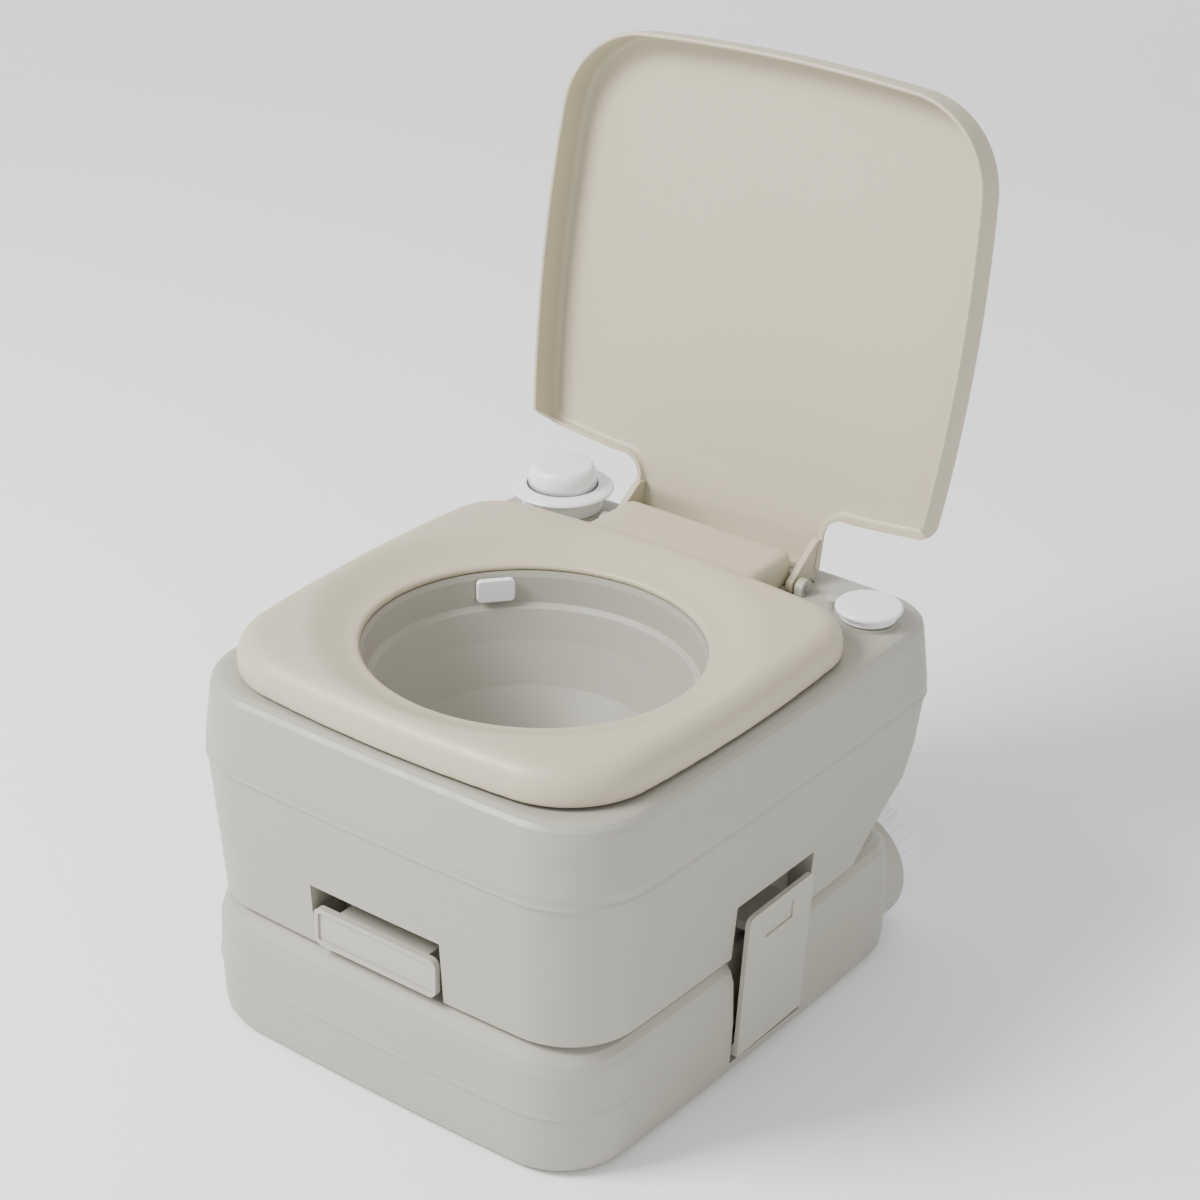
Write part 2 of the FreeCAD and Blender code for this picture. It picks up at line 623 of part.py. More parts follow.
def pad(body, sketch, length, midplane=False, backwards=False):
    feature = body.newObject("PartDesign::Pad", sketch.Name + "_pad")
    feature.Profile = sketch
    bind(feature, Length=length)
    feature.Midplane = midplane
    feature.Reversed = backwards
    return feature


def pocket(body, sketch, length, midplane=False, backwards=False):
    """A pocket, checked to have taken material away."""
    doc.recompute()
    before = body.Shape.Volume
    feature = body.newObject("PartDesign::Pocket", sketch.Name + "_pocket")
    feature.Profile = sketch
    bind(feature, Length=length)
    feature.Midplane = midplane
    feature.Reversed = backwards
    doc.recompute()
    if body.Shape.Volume > before - 1e-3:
        raise RuntimeError(f"{feature.Name} cuts nothing")
    return feature


def revolution(body, sketch):
    """A solid of revolution about the body's upright axis."""
    feature = body.newObject("PartDesign::Revolution", sketch.Name + "_turned")
    feature.Profile = sketch
    feature.ReferenceAxis = (sketch, ["V_Axis"])
    feature.Angle = 360
    return feature


def turned(label, profile, x=0, y=0, z=0):
    """A round sub-part, from its profile as radius and height."""
    body = new_body(label)
    revolution(body, polygon(sketch_on(body, "XZ_Plane", label + "_profile"), profile))
    move(body, x, y, z)
    return body


def fillet(body, radius, chosen):
    """A PartDesign fillet on the edges that a test chooses."""
    doc.recompute()
    base = body.Tip
    edges = enumerate(base.Shape.Edges, start=1)
    names = [f"Edge{number}" for number, edge in edges if chosen(edge)]
    if not names:
        raise RuntimeError(f"{body.Label}: no edge to round")
    feature = body.newObject("PartDesign::Fillet", base.Name + "_rounded")
    feature.Base = (base, names)
    bind(feature, Radius=radius)
    return feature


def runs_along(edge, axis):
    """Whether an edge is a straight one along an axis."""
    if not isinstance(edge.Curve, Part.Line):
        return False
    return abs(abs(edge.Curve.Direction.dot(Vector(*axis))) - 1) < 1e-6


# ---------------------------------------------------------------- the waste tank

BASE = outline("base_half_width", "-base_front", "base_rear", "base_front_corner", "base_rear_corner")

SHOULDER = (
    # share of the shoulder's breadth, drop below the deck
    (0.06, 17), (0.18, 9), (0.37, 4), (0.66, 1), (1, 0),
)


def make_waste_tank():
    outer_levels = [
        ("0", "base_round"),
        ("1", "base_round * 0.8"),
        ("4", "base_round * 0.46"),
        ("9", "base_round * 0.22"),
        ("18", "base_round * 0.1"),
        ("base_crease", "0"),
    ]
    outer_levels += [(f"base_top - {drop}", f"base_shoulder * {share}") for share, drop in SHOULDER]
    inner_levels = [
        ("wall", "base_round + wall * 0.4"),
        ("wall + 5", "base_round * 0.4 + wall"),
        ("18", "base_round * 0.1 + wall"),
        ("base_crease", "wall"),
    ]
    inner_levels += [(f"base_top - wall - {drop * 0.8}", f"base_shoulder * {share} + wall")
                     for share, drop in SHOULDER]
    outside = vessel("waste_outside", BASE, outer_levels)
    inside = vessel("waste_inside", BASE, inner_levels)

    boss = rod("drain_boss", "drain_boss", "boss_length",
               "drain_place", "base_rear - boss_length", "drain_height", "y")
    boss_hollow = rod("drain_boss_hollow", "drain_boss - wall", "boss_length",
                      "drain_place", "base_rear - boss_length - wall", "drain_height", "y")
    neck = rod("drain_neck", "drain_bore + wall", "drain_neck + wall",
               "drain_place", "base_rear - wall", "drain_height", "y")
    neck_bore = rod("drain_neck_bore", "drain_bore", "drain_neck + 3 * wall",
                    "drain_place", "base_rear - 2 * wall", "drain_height", "y")

    recess_walls = []
    recesses = []
    inner = "tank_width / 2 - latch_setback - recess_depth"
    span = "latch_half_width + latch_gap"
    reach = "tank_width"
    for side, name in ((1, "right"), (-1, "left")):
        wall_x = (f"{inner} - wall", reach) if side > 0 else (f"-{reach}", f"-({inner} - wall)")
        recess_x = (inner, reach) if side > 0 else (f"-{reach}", f"-({inner})")
        recess_walls.append(block(f"recess_wall_{name}", wall_x,
                                  (f"-({span}) - wall", f"{span} + wall"),
                                  ("-overcut", "base_top + overcut")))
        recesses.append(block(f"recess_{name}", recess_x, (f"-({span})", span),
                              ("pivot_height - recess_drop", "base_top + overcut")))
    pin_holes = [rod(f"latch_pin_hole_{name}", "latch_pin", f"2 * ({span} + wall)",
                     f"{side} * pivot_place", f"-({span}) - wall", "pivot_height", "y")
                 for side, name in ((1, "right"), (-1, "left"))]

    hollow = cut("waste_hollow", fused("waste_space", inside, boss_hollow), *recess_walls)
    walls = cut("waste_walls", fused("waste_body", outside, boss, neck), hollow)
    inlet = rod("waste_inlet", "outlet_radius + 2", "4 * wall", "0", "bowl_place", "base_top - 2 * wall")
    screw_holes = [rod(f"deck_screw_hole_{number}", "screw_radius", "4 * wall", x, y, "base_top - 2 * wall")
                   for number, (x, y) in enumerate(screw_places())]
    opened = cut("waste_opened", walls, neck_bore, inlet, *recesses, *pin_holes, *screw_holes)
    pads = [block(f"rest_pad_{number}", (f"{x} - pad_half_width", f"{x} + pad_half_width"),
                  (f"{y} - pad_half_width", f"{y} + pad_half_width"),
                  ("base_top - fuse_overlap", "skirt_bottom - rest_gap"))
            for number, (x, y) in enumerate(pad_places())]
    node(fused("waste_tank_shape", opened, *pads), "waste_tank")


def pad_places():
    return [(x, y) for y in ("-pad_front", "pad_rear") for x in ("-pad_side", "pad_side")]


def screw_places():
    """The four housing screws, near the housing's corners."""
    x = "valve_half_width - 6"
    front = "8 - valve_front"
    rear = "bowl_place + valve_rear - 8"
    return [(f"-({x})", front), (x, front), (f"-({x})", rear), (x, rear)]


# ---------------------------------------------------------------- the slide valve

BLADE_TOP = "(blade_height + blade_thickness)"
COVER_BOTTOM = "(cover_bottom)"
COVER_TOP = "(cover_top)"
BLADE_REAR = "(bowl_place + outlet_radius + blade_cover)"


def make_valve():
    across = ("-valve_half_width", "valve_half_width")
    rear = "bowl_place + valve_rear"

    base = new_body("valve_base")
    pad(base, rectangle(sketch_on(base, "XY_Plane", "valve_base_plan", "base_top"), across,
                        ("-valve_front", rear)), f"{COVER_BOTTOM} - base_top")
    pocket(base, rectangle(sketch_on(base, "XY_Plane", "blade_way", COVER_BOTTOM),
                           ("-blade_half_width - slide_gap", "blade_half_width + slide_gap"),
                           ("-valve_front - 5", f"{BLADE_REAR} + slide_gap")),
           f"{COVER_BOTTOM} - blade_height + slide_gap")
    opening = sketch_on(base, "XY_Plane", "valve_base_opening", COVER_BOTTOM)
    circle(opening, "0", "bowl_place", "outlet_radius")
    for x, y in screw_places():
        circle(opening, x, y, "screw_radius + screw_clearance")
    pocket(base, opening, f"{COVER_BOTTOM} - base_top")

    cover = new_body("valve_cover")
    pad(cover, rectangle(sketch_on(cover, "XY_Plane", "valve_cover_plan", COVER_BOTTOM), across,
                         ("-valve_front", rear)), "cover_thickness")
    opening = sketch_on(cover, "XY_Plane", "valve_cover_opening", COVER_TOP)
    circle(opening, "0", "bowl_place", "outlet_radius")
    for x, y in screw_places():
        circle(opening, x, y, "screw_radius + screw_clearance")
    pocket(cover, opening, "cover_thickness")
    groove = sketch_on(cover, "XY_Plane", "seal_groove", f"{COVER_BOTTOM} + seal_depth")
    circle(groove, "0", "bowl_place", "outlet_radius + seal_width")
    pocket(cover, groove, "seal_depth")

    turned("valve_seal", [
        ("outlet_radius", f"{COVER_BOTTOM} - slide_gap + 0.1"),
        ("outlet_radius + seal_width", COVER_BOTTOM),
        ("outlet_radius + seal_width", f"{COVER_BOTTOM} + seal_depth"),
        ("outlet_radius", f"{COVER_BOTTOM} + seal_depth"),
    ], y="bowl_place")

    screws = []
    for number, (x, y) in enumerate(screw_places()):
        shank = rod(f"screw_shank_{number}", "screw_radius", f"{COVER_TOP} - base_top + screw_grip",
                    x, y, "base_top - screw_grip")
        head = rod(f"screw_head_{number}", "screw_head", "screw_head_height", x, y, COVER_TOP)
        screws.append(fused(f"screw_{number}", shank, head))
    node(group("screws", *screws), "valve_screws")

    blade = new_body("valve_blade")
    pad(blade, rectangle(sketch_on(blade, "XY_Plane", "blade_plan", "blade_height"),
                         ("-blade_half_width", "blade_half_width"),
                         ("-valve_front - 8", BLADE_REAR)), "blade_thickness")
    fillet(blade, "10", lambda edge: runs_along(edge, (0, 0, 1)) and edge.CenterOfMass.y > 0)


def make_handle():
    body = new_body("valve_handle")
    face = sketch_on(body, "XZ_Plane", "handle_plate", "handle_front")
    rectangle(face, ("-handle_half_width", "handle_half_width"),
              ("handle_bottom", "handle_bottom + handle_height"))
    pad(body, face, "handle_thickness", backwards=True)
    fillet(body, "handle_corner", lambda edge: runs_along(edge, (0, 1, 0)))
    panel = sketch_on(body, "XZ_Plane", "handle_panel", "handle_front")
    rectangle(panel, ("handle_rim - handle_half_width", "handle_half_width - handle_rim"),
              ("handle_bottom + handle_rim", "handle_bottom + handle_height - handle_rim"))
    pocket(body, panel, "handle_sink")
    fillet(body, "handle_corner - handle_rim",
           lambda edge: runs_along(edge, (0, 1, 0)) and edge.Length < value("handle_sink") + 0.01)
    arm = sketch_on(body, "XY_Plane", "handle_arm", BLADE_TOP)
    rectangle(arm, ("-arm_half_width", "arm_half_width"),
              ("1 + handle_sink - handle_front", "-valve_front - 1"))
    pad(body, arm, "arm_height")
    hollow = sketch_on(body, "XY_Plane", "arm_hollow", BLADE_TOP)
    rectangle(hollow, ("wall - arm_half_width", "arm_half_width - wall"),
              ("handle_thickness + 1 - handle_front", "-valve_front - 9"))
    pocket(body, hollow, "arm_height - wall", backwards=True)


# ---------------------------------------------------------------- the side latches

def make_latches():
    for side, name in ((1, "right"), (-1, "left")):
        body = new_body(f"latch_{name}")
        outer = f"{side} * latch_reach"
        inner = f"{side} * (latch_reach - latch_thickness)"
        plate = sketch_on(body, "XZ_Plane", f"latch_plate_{name}")
        polygon(plate, [
            (f"{side} * 2", "-latch_foot"), (outer, "-latch_foot"),
            (outer, "latch_height"), (inner, "latch_height"),
            (inner, "latch_knee"), (f"{side} * 2", "latch_knee / 2"),
        ])
        pad(body, plate, "2 * latch_half_width", midplane=True)
        fillet(body, "latch_corner",
               lambda edge: runs_along(edge, (1, 0, 0)) and edge.CenterOfMass.z > value("latch_height / 2"))
        grip = sketch_on(body, "YZ_Plane", f"latch_grip_{name}", outer)
        rectangle(grip, ("-grip_front", "grip_rear"),
                  ("latch_height - grip_drop", "latch_height - grip_margin"))
        pocket(body, grip, "grip_sink", backwards=side < 0)
        hook = sketch_on(body, "XZ_Plane", f"latch_hook_{name}")
        hook_low = "catch_top + 1 - pivot_height"
        rectangle(hook, (f"{side} * (catch_place - hook_reach - pivot_place)", f"{side} * (latch_reach - 1)"),
                  (hook_low, f"{hook_low} + hook_height"))
        pad(body, hook, "2 * catch_half_width - hook_reach", midplane=True)
        barrel = sketch_on(body, "XZ_Plane", f"latch_barrel_{name}")
        circle(barrel, "0", "0", "pivot_barrel")
        pad(body, barrel, "2 * latch_half_width - 10", midplane=True)
        bore = sketch_on(body, "XZ_Plane", f"latch_bore_{name}")
        circle(bore, "0", "0", "latch_pin + pin_gap")
        pocket(body, bore, "2 * latch_half_width + 2", midplane=True)
        turn(body, (0, 1, 0), f"{side} * latch_ajar")
        move(body, f"{side} * pivot_place", 0, "pivot_height")
    span = "latch_half_width + latch_gap + wall"
    pins = [rod(f"latch_pin_{name}", "latch_pin", f"2 * ({span})", f"{side} * pivot_place",
                f"-({span})", "pivot_height", "y") for side, name in ((1, "right"), (-1, "left"))]
    node(group("pins_of_latches", *pins), "latch_pins")


# ---------------------------------------------------------------- the drain cap

def make_drain_cap():
    cap = new_body("drain_cap")
    skirt = "drain_bore + wall + thread_gap"
    mouth = "cap_gap"
    end = f"{mouth} + drain_cap_depth"
    profile = sketch_on(cap, "XZ_Plane", "drain_cap_profile")
    polygon(profile, [
        (skirt, mouth), ("drain_cap_radius - cap_gap", mouth), ("drain_cap_radius", f"{mouth} + cap_chamfer"),
        ("drain_cap_radius", f"{end} - cap_round"),
        ("drain_cap_radius - cap_round * 0.3", f"{end} - cap_chamfer"),
        ("drain_cap_radius - cap_round", end), ("0", end), ("0", "drain_neck + seal_thickness"),
        (skirt, "drain_neck + seal_thickness"),
    ])
    revolution(cap, profile)
    flute = sketch_on(cap, "XY_Plane", "drain_cap_flute", f"{mouth} + plain_foot")
    circle(flute, "drain_cap_radius + flute_radius * flute_share", "0", "flute_radius")
    first = pocket(cap, flute, "drain_cap_depth", backwards=True)
    flutes = cap.newObject("PartDesign::PolarPattern", "drain_cap_flutes")
    flutes.Originals = [first]
    flutes.Axis = (flute, ["N_Axis"])
    bind(flutes, Occurrences="cap_ribs")
    cap.Tip = flutes
    cap.Placement.Rotation = Rotation(Vector(1, 0, 0), -90)
    move(cap, "drain_place", "base_rear", "drain_height")

    seal = turned("drain_seal", [
        ("drain_bore + seal_play", "drain_neck"), (skirt, "drain_neck"),
        (skirt, "drain_neck + seal_thickness"), ("drain_bore + seal_play", "drain_neck + seal_thickness"),
    ])
    seal.Placement.Rotation = Rotation(Vector(1, 0, 0), -90)
    move(seal, "drain_place", "base_rear", "drain_height")


# ---------------------------------------------------------------- the flush tank

TANK = outline("tank_width / 2", "-tank_depth / 2", "tank_depth / 2", "front_corner", "rear_corner")


def skirt_inset(height):
    """How far the flush tank's side lies inside the belt at a height."""
    share = f"(belt_height - ({height})) / (belt_height - skirt_bottom)"
    return f"(belt_inset + (skirt_inset - belt_inset) * {share})"


def make_flush_tank():
    levels = [
        ("skirt_bottom", f"{skirt_inset('skirt_bottom')} + 1.5", "foot_rear"),
        ("skirt_bottom + 1.7", skirt_inset("skirt_bottom + 1.7"), "foot_rear + 1.7"),
        ("knee_height", skirt_inset("knee_height"), "knee_rear"),
        ("elbow_height", skirt_inset("elbow_height"), "elbow_rear"),
        ("elbow_height + 22", skirt_inset("elbow_height + 22"), "elbow_rear + 8"),
        ("belt_height", skirt_inset("belt_height"), "tank_depth / 2"),
    ]
    outside = vessel("flush_outside", TANK, levels)
    inner_levels = [("skirt_bottom + wall", f"{skirt_inset('skirt_bottom + wall')} + wall", "foot_rear + 3")]
    inner_levels += [(height, f"{inset} + wall", rear) for height, inset, rear in levels[2:-1]]
    inner_levels.append(("belt_height + 0.5", f"{skirt_inset('belt_height')} + wall", "tank_depth / 2"))
    inside = vessel("flush_inside", TANK, inner_levels)

    # the tunnel over the slide valve, and the notch for its handle
    tunnel_half = "(valve_half_width + 4)"
    tunnel_top = f"({COVER_TOP} + 8.5)"
    tunnel_rear = "(bowl_place + valve_rear + 8)"
    skin_rear = "(wall * 3 - tank_depth / 2 + 8)"
    notch_half = "(handle_half_width + notch_gap)"
    notch_rear = "(8 - valve_front)"
    below = "skirt_bottom - 5"
    tunnel_wall = block("tunnel_wall", (f"-{tunnel_half} - wall", f"{tunnel_half} + wall"),
                        ("-tank_depth", f"{tunnel_rear} + wall"), (below, f"{tunnel_top} + wall"))
    notch_wall = block("notch_wall", (f"-{notch_half} - wall", f"{notch_half} + wall"),
                       ("-tank_depth", f"{notch_rear} + wall"), (below, "notch_top + wall"))
    tunnel = block("tunnel", (f"-{tunnel_half}", tunnel_half), (skin_rear, tunnel_rear), (below, tunnel_top))
    notch = block("notch", (f"-{notch_half}", notch_half), ("-tank_depth", notch_rear), (below, "notch_top"))

    # the pockets for the side latches, each with a catch in it
    pocket_span = "latch_half_width + latch_gap * 2"
    pocket_inner = "(tank_width / 2 - pocket_depth)"
    pocket_walls = []
    pockets = []
    catches = []
    for side, name in ((1, "right"), (-1, "left")):
        def ordered(low, high):
            return (low, high) if side > 0 else (f"-({high})", f"-({low})")
        pocket_walls.append(block(f"pocket_wall_{name}", ordered(f"{pocket_inner} - wall", "tank_width"),
                                  (f"-({pocket_span}) - wall", f"{pocket_span} + wall"),
                                  (below, "pocket_top + wall")))
        pockets.append(block(f"pocket_{name}", ordered(pocket_inner, "tank_width"),
                             (f"-({pocket_span})", pocket_span), (below, "pocket_top")))
        catches.append(block(f"catch_{name}", ordered(f"{pocket_inner} - 1", "catch_place"),
                             ("-catch_half_width", "catch_half_width"),
                             ("catch_top - catch_thickness", "catch_top")))
    hollow = cut("flush_hollow", inside, tunnel_wall, notch_wall, *pocket_walls)
    walls = cut("flush_walls", outside, hollow)
    outlet = rod("flush_outlet", "outlet_radius + outlet_wall + fuse_overlap", "4 * overcut",
                 "0", "bowl_place", f"{tunnel_top} - 2 * overcut")
    opened = cut("flush_opened", walls, tunnel, notch, outlet, *pockets)
    node(fused("flush_tank_shape", opened, *catches), "flush_tank")


# ---------------------------------------------------------------- the bowl deck

def bowl_levels(grown=0):
    """Heights and half sizes of the bowl, from its mouth down to its outlet."""
    shares = (
        # share of the way from mouth to outlet, height
        ("0", "deck_top + collar_height + 0.5"),
        ("0.02", "deck_top + collar_height - 4"),
        ("0.04", "ledge_height + 3"),
        ("0.1", "ledge_height"),
        ("0.19", "ledge_height - 21"),
        ("0.36", "ledge_height - 51"),
        ("0.62", "ledge_height - 81"),
        ("0.91", "ledge_height - 106"),
        ("1", "ledge_height - 112"),
    )
    levels = []
    for share, height in shares:
        width = f"bowl_half_width + {grown} - {share} * (bowl_half_width - outlet_radius)"
        depth = f"bowl_half_depth + {grown} - {share} * (bowl_half_depth - outlet_radius)"
        levels.append((height, width, depth))
    return levels


# how far the bowl's outside lies below its inside, from its mouth down to its outlet
BOWL_DROPS = (10, 9, 0, 2.5, 3, 3, 3, 3, 3)


def make_bowl_deck():
    levels = [
        ("belt_height", "belt_inset"),
        ("belt_height + belt_lip", "0"),
        ("deck_top - rim_drop", "rim_inset"),
        ("deck_top - rim_drop * 0.5", "rim_inset + rim_round * 0.12"),
        ("deck_top - rim_drop * 0.2", "rim_inset + rim_round * 0.4"),
        ("deck_top - rim_drop * 0.05", "rim_inset + rim_round * 0.75"),
        ("deck_top", "rim_inset + rim_round"),
    ]
    inner_levels = [
        ("belt_height - 0.5", "belt_inset + wall"),
        ("belt_height + belt_lip", "wall"),
        ("deck_top - rim_drop", "rim_inset + wall"),
        ("deck_top - rim_drop * 0.2 - wall * 0.8", "rim_inset + rim_round * 0.4 + wall * 0.6"),
        ("deck_top - wall", "rim_inset + rim_round + wall * 0.2"),
    ]
    outside = vessel("deck_outside", TANK, levels)
    inside = vessel("deck_inside", TANK, inner_levels)
    cover = cut("deck_cover", outside, inside)

    collar = ellipse_loft("collar", [
        ("deck_top - wall", "bowl_half_width + collar_wall", "bowl_half_depth + collar_wall"),
        ("deck_top + collar_height - 2", "bowl_half_width + collar_wall - 0.3",
         "bowl_half_depth + collar_wall - 0.3"),
        ("deck_top + collar_height", "bowl_half_width + collar_wall - 2",
         "bowl_half_depth + collar_wall - 2"),
    ])
    bowl_outside = ellipse_loft("bowl_outside", [
        (f"{height} - ({drop})", width, depth)
        for (height, width, depth), drop in zip(bowl_levels("wall"), BOWL_DROPS)])
    bowl_inside = ellipse_loft("bowl_inside", bowl_levels())
    spigot = rod("outlet_spigot", "outlet_radius + outlet_wall", "ledge_height - 106 - spigot_bottom",
                 "0", "bowl_place", "spigot_bottom")
    outlet = rod("outlet_bore", "outlet_radius", "ledge_height - 106 - spigot_bottom",
                 "0", "bowl_place", "spigot_bottom - 5")

    # hinge trough and ears
    half = "(ear_place - 0.5)"
    front = "hinge_place - trough_front"
    rear = "hinge_place + trough_rear"
    trough_wall = block("trough_wall", (f"-{half} - wall", f"{half} + wall"),
                        (f"{front} - wall", f"{rear} + wall"),
                        ("deck_top - trough_depth - wall", "deck_top - 0.5"))
    trough = block("trough", (f"-{half}", half), (front, rear), ("deck_top - trough_depth", "deck_top + 2"))
    ears = []
    ear_holes = []
    for low, name in (("ear_place", "right"), ("-ear_place - ear_thickness", "left")):
        ears.append(rod(f"deck_ear_{name}", "ear_radius", "ear_thickness", low,
                        "hinge_place", "hinge_height", "x"))
        ears.append(block(f"deck_ear_foot_{name}", (low, f"{low} + ear_thickness"),
                          ("hinge_place - ear_radius", "hinge_place + ear_radius"),
                          ("deck_top - 1", "hinge_height")))
        ear_holes.append(rod(f"deck_ear_hole_{name}", "pin_radius", "ear_thickness + 4", f"{low} - 2",
                             "hinge_place", "hinge_height", "x"))

    # filler neck, pump seat and the window for the nozzle
    filler = rod("filler_neck", "filler_bore + wall * thread_share", "filler_neck + wall",
                 "filler_right", "filler_back", "deck_top - wall")
    filler_bore = rod("filler_neck_bore", "filler_bore", "filler_neck + 4 * wall",
                      "filler_right", "filler_back", "deck_top - 2 * wall")
    pump_seat = rod("pump_seat", "barrel_radius + wall", "4 * wall",
                    "-pump_left", "pump_back", "deck_top - 2 * wall")
    window = block("nozzle_window", ("-6", "12"),
                   ("nozzle_margin - nozzle_half_width", "nozzle_half_width - nozzle_margin"),
                   ("nozzle_bottom + 0.5", "nozzle_bottom + 0.5 + window_height"))
    at_nozzle(window, z="nozzle_bottom + 0.5", sideways="nozzle_margin - nozzle_half_width", inwards="-6")

    bowl_room = ellipse_loft("bowl_room", [
        (height, "bowl_half_width + collar_wall", "bowl_half_depth + collar_wall")
        for height in ("deck_top - 2 * wall", "deck_top + wall")])
    deck = fused("deck_solid", cover, trough_wall, filler, *ears)
    node(cut("bowl_deck_shape", deck, bowl_room, trough, filler_bore, pump_seat, *ear_holes), "bowl_deck")
    bowl = fused("bowl_solid", collar, bowl_outside, spigot)
    node(cut("bowl_shape", bowl, bowl_inside, outlet, window), "bowl")

    turned("outlet_gasket", [
        ("outlet_radius", f"{COVER_TOP} + 0.2"), ("outlet_radius + gasket_width", f"{COVER_TOP} + 1.2"),
        ("outlet_radius + gasket_width", "spigot_bottom"), ("outlet_radius", "spigot_bottom"),
    ], y="bowl_place")


# ---------------------------------------------------------------- the flush nozzle and its hose

def nozzle_place():
    """The point on the bowl's wall behind the nozzle, and the wall's outward angle there."""
    across = "(bowl_half_width * 0.975)"
    along = "(bowl_half_depth * 0.975)"
    x = f"{across} * cos(nozzle_turn)"
    y = f"bowl_place + {along} * sin(nozzle_turn)"
    angle = f"180 deg + atan(tan(nozzle_turn) * {across} / {along})"
    return x, y, angle


def at_nozzle(item, z=0, sideways="0", inwards="0"):
    """Puts an object at the nozzle, with its own +X pointing out through the bowl's wall."""
    x, y, angle = nozzle_place()
    turn(item, (0, 0, 1), angle)
    move(item, f"{x} + ({inwards}) * cos({angle}) - ({sideways}) * sin({angle})",
         f"{y} + ({inwards}) * sin({angle}) + ({sideways}) * cos({angle})", z)


def make_nozzle():
    nozzle = new_body("flush_nozzle")
    plate = sketch_on(nozzle, "YZ_Plane", "nozzle_plate", "-nozzle_stand")
    rectangle(plate, ("-nozzle_half_width", "nozzle_half_width"),
              ("nozzle_bottom", "nozzle_bottom + nozzle_height"))
    pad(nozzle, plate, "nozzle_thickness")
    fillet(nozzle, "nozzle_corner", lambda edge: runs_along(edge, (1, 0, 0)))
    fillet(nozzle, "1", lambda edge: edge.BoundBox.XMax < 0.1 - value("nozzle_stand"))
    plug = sketch_on(nozzle, "YZ_Plane", "nozzle_plug", "nozzle_thickness - nozzle_stand - 0.1")
    rectangle(plug, ("nozzle_margin + plug_clearance - nozzle_half_width",
                     "nozzle_half_width - nozzle_margin - plug_clearance"),
              ("nozzle_bottom + 0.7", "nozzle_bottom + 0.3 + window_height"))
    pad(nozzle, plug, "plug_length")
    at_nozzle(nozzle)

    housing = new_body("nozzle_housing")
    case = sketch_on(housing, "YZ_Plane", "nozzle_case", "case_place")
    rectangle(case, ("-nozzle_half_width", "nozzle_half_width"),
              ("hose_height - hose_radius - 1", "deck_top - wall - plug_clearance"))
    pad(housing, case, "case_depth")
    spigot = sketch_on(housing, "YZ_Plane", "nozzle_spigot", "spigot_place")
    circle(spigot, "0", "hose_height", "hose_bore")
    pad(housing, spigot, "spigot_length")
    bore = sketch_on(housing, "YZ_Plane", "nozzle_bore", "spigot_end")
    circle(bore, "0", "hose_height", "hose_bore - spigot_wall")
    pocket(housing, bore, "case_depth + spigot_length - 3")
    at_nozzle(housing)


def make_hose():
    """The flush hose: straight from the pump, one bend, straight to the nozzle."""
    x, y, angle = (value(expression) for expression in nozzle_place())
    height = value("hose_height")
    outwards = Vector(math.cos(math.radians(angle)), math.sin(math.radians(angle)), 0)
    foot = Vector(x, y, height)
    nozzle_end = foot + outwards * value("hose_start")
    pump_x = -value("pump_left")
    pump_end = Vector(pump_x, value("pump_back - barrel_radius - 1"), height)
    corner = foot + outwards * ((pump_x - x) / outwards.x)
    towards_pump = (pump_end - corner).normalize()
    towards_nozzle = (nozzle_end - corner).normalize()
    half_turn = (math.pi - towards_pump.getAngle(towards_nozzle)) / 2
    bend = value("hose_bend")
    trim = bend * math.tan(half_turn)
    start = corner + towards_pump * trim
    end = corner + towards_nozzle * trim
    inner = (towards_pump + towards_nozzle).normalize()
    middle = corner + inner * (bend / math.cos(half_turn) - bend)
    route = Part.Wire([
        Part.LineSegment(pump_end, start).toShape(),
        Part.Arc(start, middle, end).toShape(),
        Part.LineSegment(end, nozzle_end).toShape(),
    ])

    def tube(radius):
        ring = Part.Wire([Part.Circle(pump_end, towards_pump, radius).toShape()])
        return route.makePipeShell([ring], True, False)

    hose = doc.addObject("Part::Feature", "flush_hose")
    hose.Shape = tube(value("hose_radius")).cut(tube(value("hose_bore")))
    hose.Placement = Placement()
    node(hose, "flush_hose")


# ---------------------------------------------------------------- the pump

FLANGE_TOP = "(deck_top + flange_height)"
BUTTON_TOP = f"({FLANGE_TOP} + button_height)"
WELL_FLOOR = "(deck_top + 4)"


